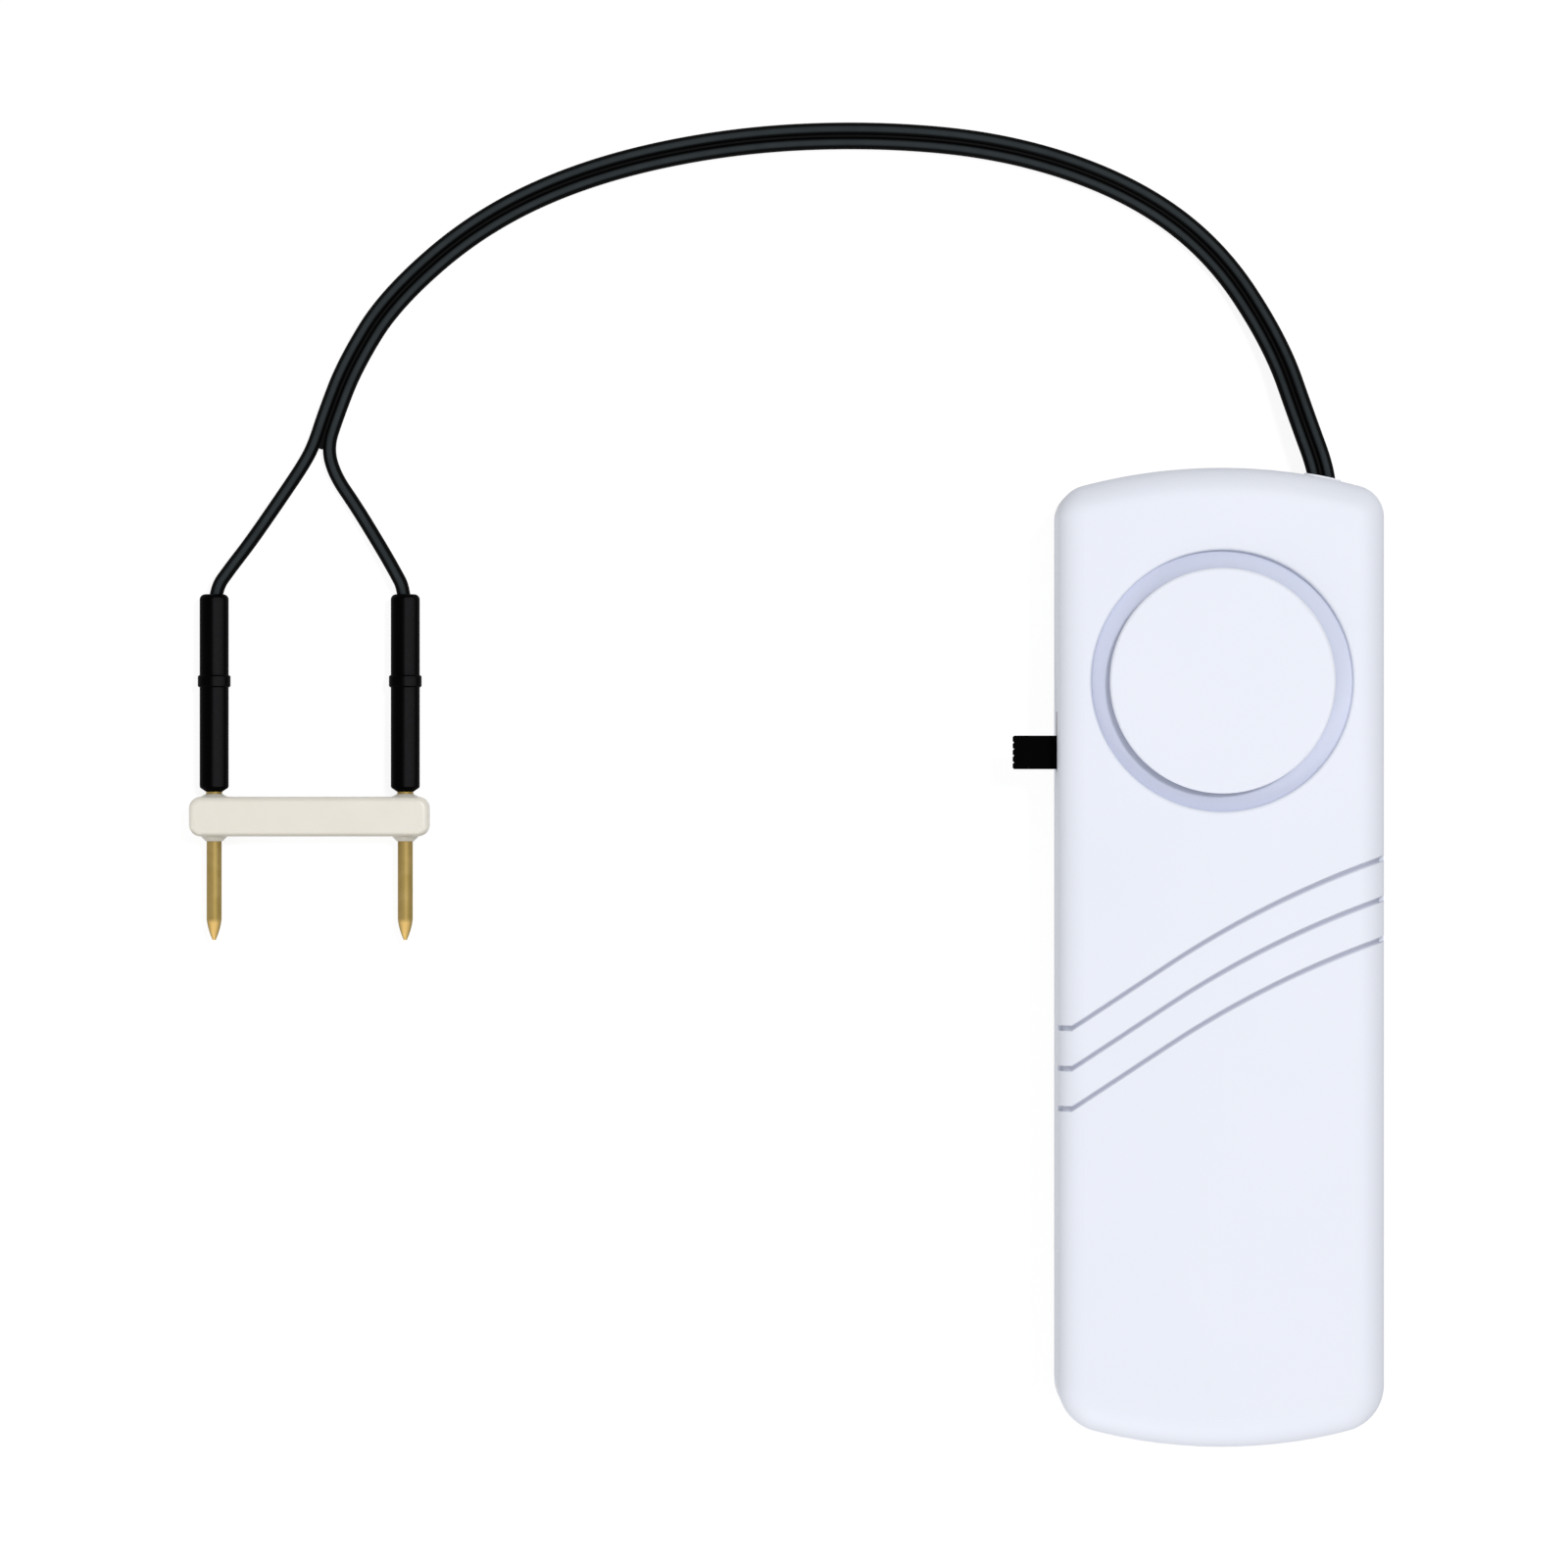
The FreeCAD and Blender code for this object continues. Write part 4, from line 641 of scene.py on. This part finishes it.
def make_turned_brass():
    """Turned brass: a dulled olive yellow shank with faint lathe rings, and a painted highlight on the
    point's upper side.

    Real rings are too fine to show, so these are drawn 0.9 mm apart.
    """
    finish, tree, where = new_finish("brass_turned")
    tip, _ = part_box("probe_pin_left")
    point_end = tip.y + pin_point_length
    along = add(tree, "SeparateXYZ", {"Vector": where}).outputs["Y"]
    # Painted highlight on the upper side of the point
    near_tip = add(tree, "MapRange", {"Value": along, "From Min": point_end,
                                      "From Max": point_end - pin_point_fade})
    bright = add(tree, "Math", {0: near_tip.outputs[0], 1: facing(tree, (0.0, 0.0, 1.0), 0.4, 0.95)},
                 operation="MULTIPLY")
    cloud = add(tree, "TexNoise", {"Vector": where, "Scale": per(1.2), "Detail": 3.0}).outputs["Fac"]
    shank = add(tree, "Mix", {0: cloud, 6: linear("#8C783F"), 7: linear("#A48E5C")}, data_type="RGBA")
    colour = add(tree, "Mix", {0: bright.outputs[0], 6: shank.outputs[2], 7: linear("#CCAD6C")},
                 data_type="RGBA")
    rings = add(tree, "TexWave", {"Vector": where, "Scale": crests(0.9), "Distortion": 0.3},
                bands_direction="Y").outputs["Fac"]
    bump = add(tree, "Bump", {"Height": rings, "Strength": 0.12, "Distance": 0.01 * MM})
    close(tree, add(tree, "BsdfPrincipled", {
        "Base Color": colour.outputs[2],
        "Metallic": 1.0,
        "Roughness": 0.6,
        "Normal": bump.outputs[0],
    }))
    return finish


def dress_nodes():
    """Gives every node of the frame the finish of its slot."""
    finishes = {
        "housing_abs": make_housing_abs(),
        "grommet_pvc": make_grommet_pvc(),
        "screw_steel": make_zinc_steel(),
        "sounder_brass": make_rolled_brass(),
        "sounder_ceramic": make_silvered_ceramic(),
        "board_laminate": make_board_laminate(),
        "chip_epoxy": make_chip_epoxy(),
        "coil_ferrite": make_ferrite(),
        "coil_copper": make_wound_copper(),
        "capacitor_can": make_drawn_can(),
        "switch_steel": make_tinned_steel(),
        "knob_black": make_knob_nylon(),
        "contact_copper": make_spring_bronze(),
        "phenolic_board": make_phenolic_paper(),
        "contact_nickel": make_nickel_strip(),
        "cell_steel": make_cell_can(),
        "lead_red": make_lead_pvc("pvc_lead_red", "#9C1414", "#B92020"),
        "lead_black": make_lead_pvc("pvc_lead_black", "#17181A", "#232427"),
        "wire_pvc": make_wire_pvc("pvc_extruded_black", "#282D30", "#33393C"),
        # The web is the same PVC, darker here as painted shade in the valley between the wires
        "web_pvc": make_wire_pvc("pvc_extruded_web", "#080808", "#0D0D0D"),
        "wire_copper": make_stranded_copper(),
        "sleeve_black": make_sleeve_tubing(),
        "probe_cream": make_probe_nylon(),
        "pin_brass": make_turned_brass(),
    }
    own_finishes = {
        "front_cover": make_housing_abs("abs_moulded_front", is_front=True),
        "chip_resistors": make_chip_part("chip_resistors", "resistor_glazed", "#1D1F24"),
        "chip_capacitors": make_chip_part("chip_capacitors", "capacitor_fired", "#9A7B55"),
    }
    for name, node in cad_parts.items():
        for place in node.material_slots:
            place.material = own_finishes.get(name) or finishes[place.material.name]
    return finishes


# Sensor wires


def beside(points, shift):
    """Shifts a route sideways in plan, to the right of its direction."""
    moved = []
    last = len(points) - 1
    for index, point in enumerate(points):
        place = Vector(point)
        before = Vector(points[max(index - 1, 0)])
        after = Vector(points[min(index + 1, last)])
        into = (place - before).to_2d()
        out = (after - place).to_2d()
        into = (into if into.length else out).normalized()
        out = (out if out.length else into).normalized()
        side = Vector((into.y + out.y, -into.x - out.x)).normalized()
        reach = shift / (side.x * into.y - side.y * into.x)
        moved.append((place.x + side.x * reach, place.y + side.y * reach, place.z))
    return moved


def smooth_line(name, route):
    """A curve that starts and ends on a route and rounds each bend between."""
    curve = bpy.data.curves.new(name, "CURVE")
    curve.dimensions = "3D"
    spline = curve.splines.new("NURBS")
    spline.points.add(len(route) - 1)
    for point, place in zip(spline.points, route):
        point.co = (*place, 1)
    spline.order_u = 3
    spline.use_endpoint_u = True
    curve.resolution_u = wire_curve_steps
    return curve


def make_wire(side, finish):
    """One wire of the twin cable, from the outlet to its sleeve."""
    route = beside(twin_route, cable_side[side] * wire_pitch / 2) + branch_route[side]
    curve = smooth_line("wire_" + side, route)
    curve.bevel_depth = wire_diameter / 2
    curve.bevel_resolution = wire_round_steps
    curve.use_fill_caps = True
    curve.materials.append(finish)
    wire = bpy.data.objects.new("wire_" + side, curve)
    bpy.context.scene.collection.objects.link(wire)
    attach(wire, "housing")
    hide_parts("sensor_wire_" + side)
    on_wire = [name + side for name in ("wire_strands_", "crimp_ferrule_", "probe_sleeve_", "probe_pin_")]
    if side == "left":
        on_wire.append("probe_bar")


def make_web(finish):
    """The thin web that joins the two wires, from the outlet to just past the split."""
    curve = smooth_line("web_line", [*twin_route, web_end])
    line = bpy.data.objects.new("web_line", curve)
    mesh = bpy.data.meshes.new_from_object(line)
    bpy.data.objects.remove(line)
    bpy.data.curves.remove(curve)
    form = bmesh.new()
    form.from_mesh(mesh)
    bmesh.ops.translate(form, verts=form.verts, vec=(0, 0, -web_height / 2))
    risen = bmesh.ops.extrude_edge_only(form, edges=form.edges[:])["geom"]
    tops = [part for part in risen if isinstance(part, bmesh.types.BMVert)]
    bmesh.ops.translate(form, verts=tops, vec=(0, 0, web_height))
    bmesh.ops.recalc_face_normals(form, faces=form.faces)
    form.normal_update()
    for vert in form.verts:
        vert.co += vert.normal * web_width / 2
    bmesh.ops.solidify(form, geom=form.faces[:], thickness=web_width)
    form.to_mesh(mesh)
    form.free()
    mesh.materials.clear()
    mesh.materials.append(finish)
    web = bpy.data.objects.new("wire_web", mesh)
    bpy.context.scene.collection.objects.link(web)
    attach(web, "housing")


# Room


def make_lamp(name, place, size, power):
    lamp = bpy.data.objects.new(name, bpy.data.lights.new(name, "AREA"))
    lamp.location = place
    lamp.data.shape = "DISK"
    lamp.data.size = size
    lamp.data.energy = power
    lamp.rotation_euler = (Vector(lamp_target) - lamp.location).to_track_quat("-Z", "Y").to_euler()
    bpy.context.scene.collection.objects.link(lamp)


def seen_directly(tree):
    """1 where the camera, a mirror or glass looks at a surface, and 0 where light is gathered."""
    path = add(tree, "LightPath").outputs
    mirrored = add(tree, "Math", {0: path["Is Glossy Ray"], 1: path["Is Transmission Ray"]},
                   operation="MAXIMUM").outputs[0]
    return add(tree, "Math", {0: path["Is Camera Ray"], 1: mirrored}, operation="MAXIMUM").outputs[0]


def make_room():
    world = bpy.data.worlds.new("room")
    bpy.context.scene.world = world
    world.use_nodes = True
    tree = world.node_tree
    tree.nodes.clear()
    strength = add(tree, "MapRange", {"Value": seen_directly(tree), "To Min": room_strength, "To Max": 1.0})
    light = add(tree, "Background", {"Color": linear("#FFFFFF"), "Strength": strength.outputs[0]})
    add(tree, "OutputWorld", {"Surface": light.outputs[0]})


def make_floor():
    """A white table: it gathers light as paper does, and looks white, with the shadow kept.

    From below it is clear, so that the back of the part can be seen.
    """
    form = bmesh.new()
    bmesh.ops.create_grid(form, x_segments=1, y_segments=1, size=floor_half_width)
    bmesh.ops.translate(form, verts=form.verts, vec=(0, 0, -floor_drop))
    mesh = bpy.data.meshes.new("floor")
    form.to_mesh(mesh)
    form.free()
    finish = bpy.data.materials.new("table_white")
    finish.use_nodes = True
    tree = finish.node_tree
    tree.nodes.clear()
    paper = add(tree, "BsdfDiffuse", {"Color": linear(floor_paper)})
    faint = add(tree, "BsdfDiffuse", {"Color": (floor_shade_share,) * 3 + (1.0,)})
    glow = add(tree, "Emission", {"Strength": floor_glow})
    shown = add(tree, "AddShader", {0: faint.outputs[0], 1: glow.outputs[0]})
    both = add(tree, "MixShader", {0: seen_directly(tree), 1: paper.outputs[0], 2: shown.outputs[0]})
    from_below = add(tree, "NewGeometry").outputs["Backfacing"]
    clear = add(tree, "BsdfTransparent")
    close(tree, add(tree, "MixShader", {0: from_below, 1: both.outputs[0], 2: clear.outputs[0]}))
    mesh.materials.append(finish)
    floor = bpy.data.objects.new("floor", mesh)
    bpy.context.scene.collection.objects.link(floor)


make_camera()
finishes = dress_nodes()
for side in ("left", "right"):
    make_wire(side, finishes["wire_pvc"])
make_web(finishes["web_pvc"])
make_room()
make_lamp("key", key_place, key_size, key_power)
make_lamp("fill", fill_place, fill_size, fill_power)
make_floor()
bpy.context.scene.view_settings.view_transform = "Standard"
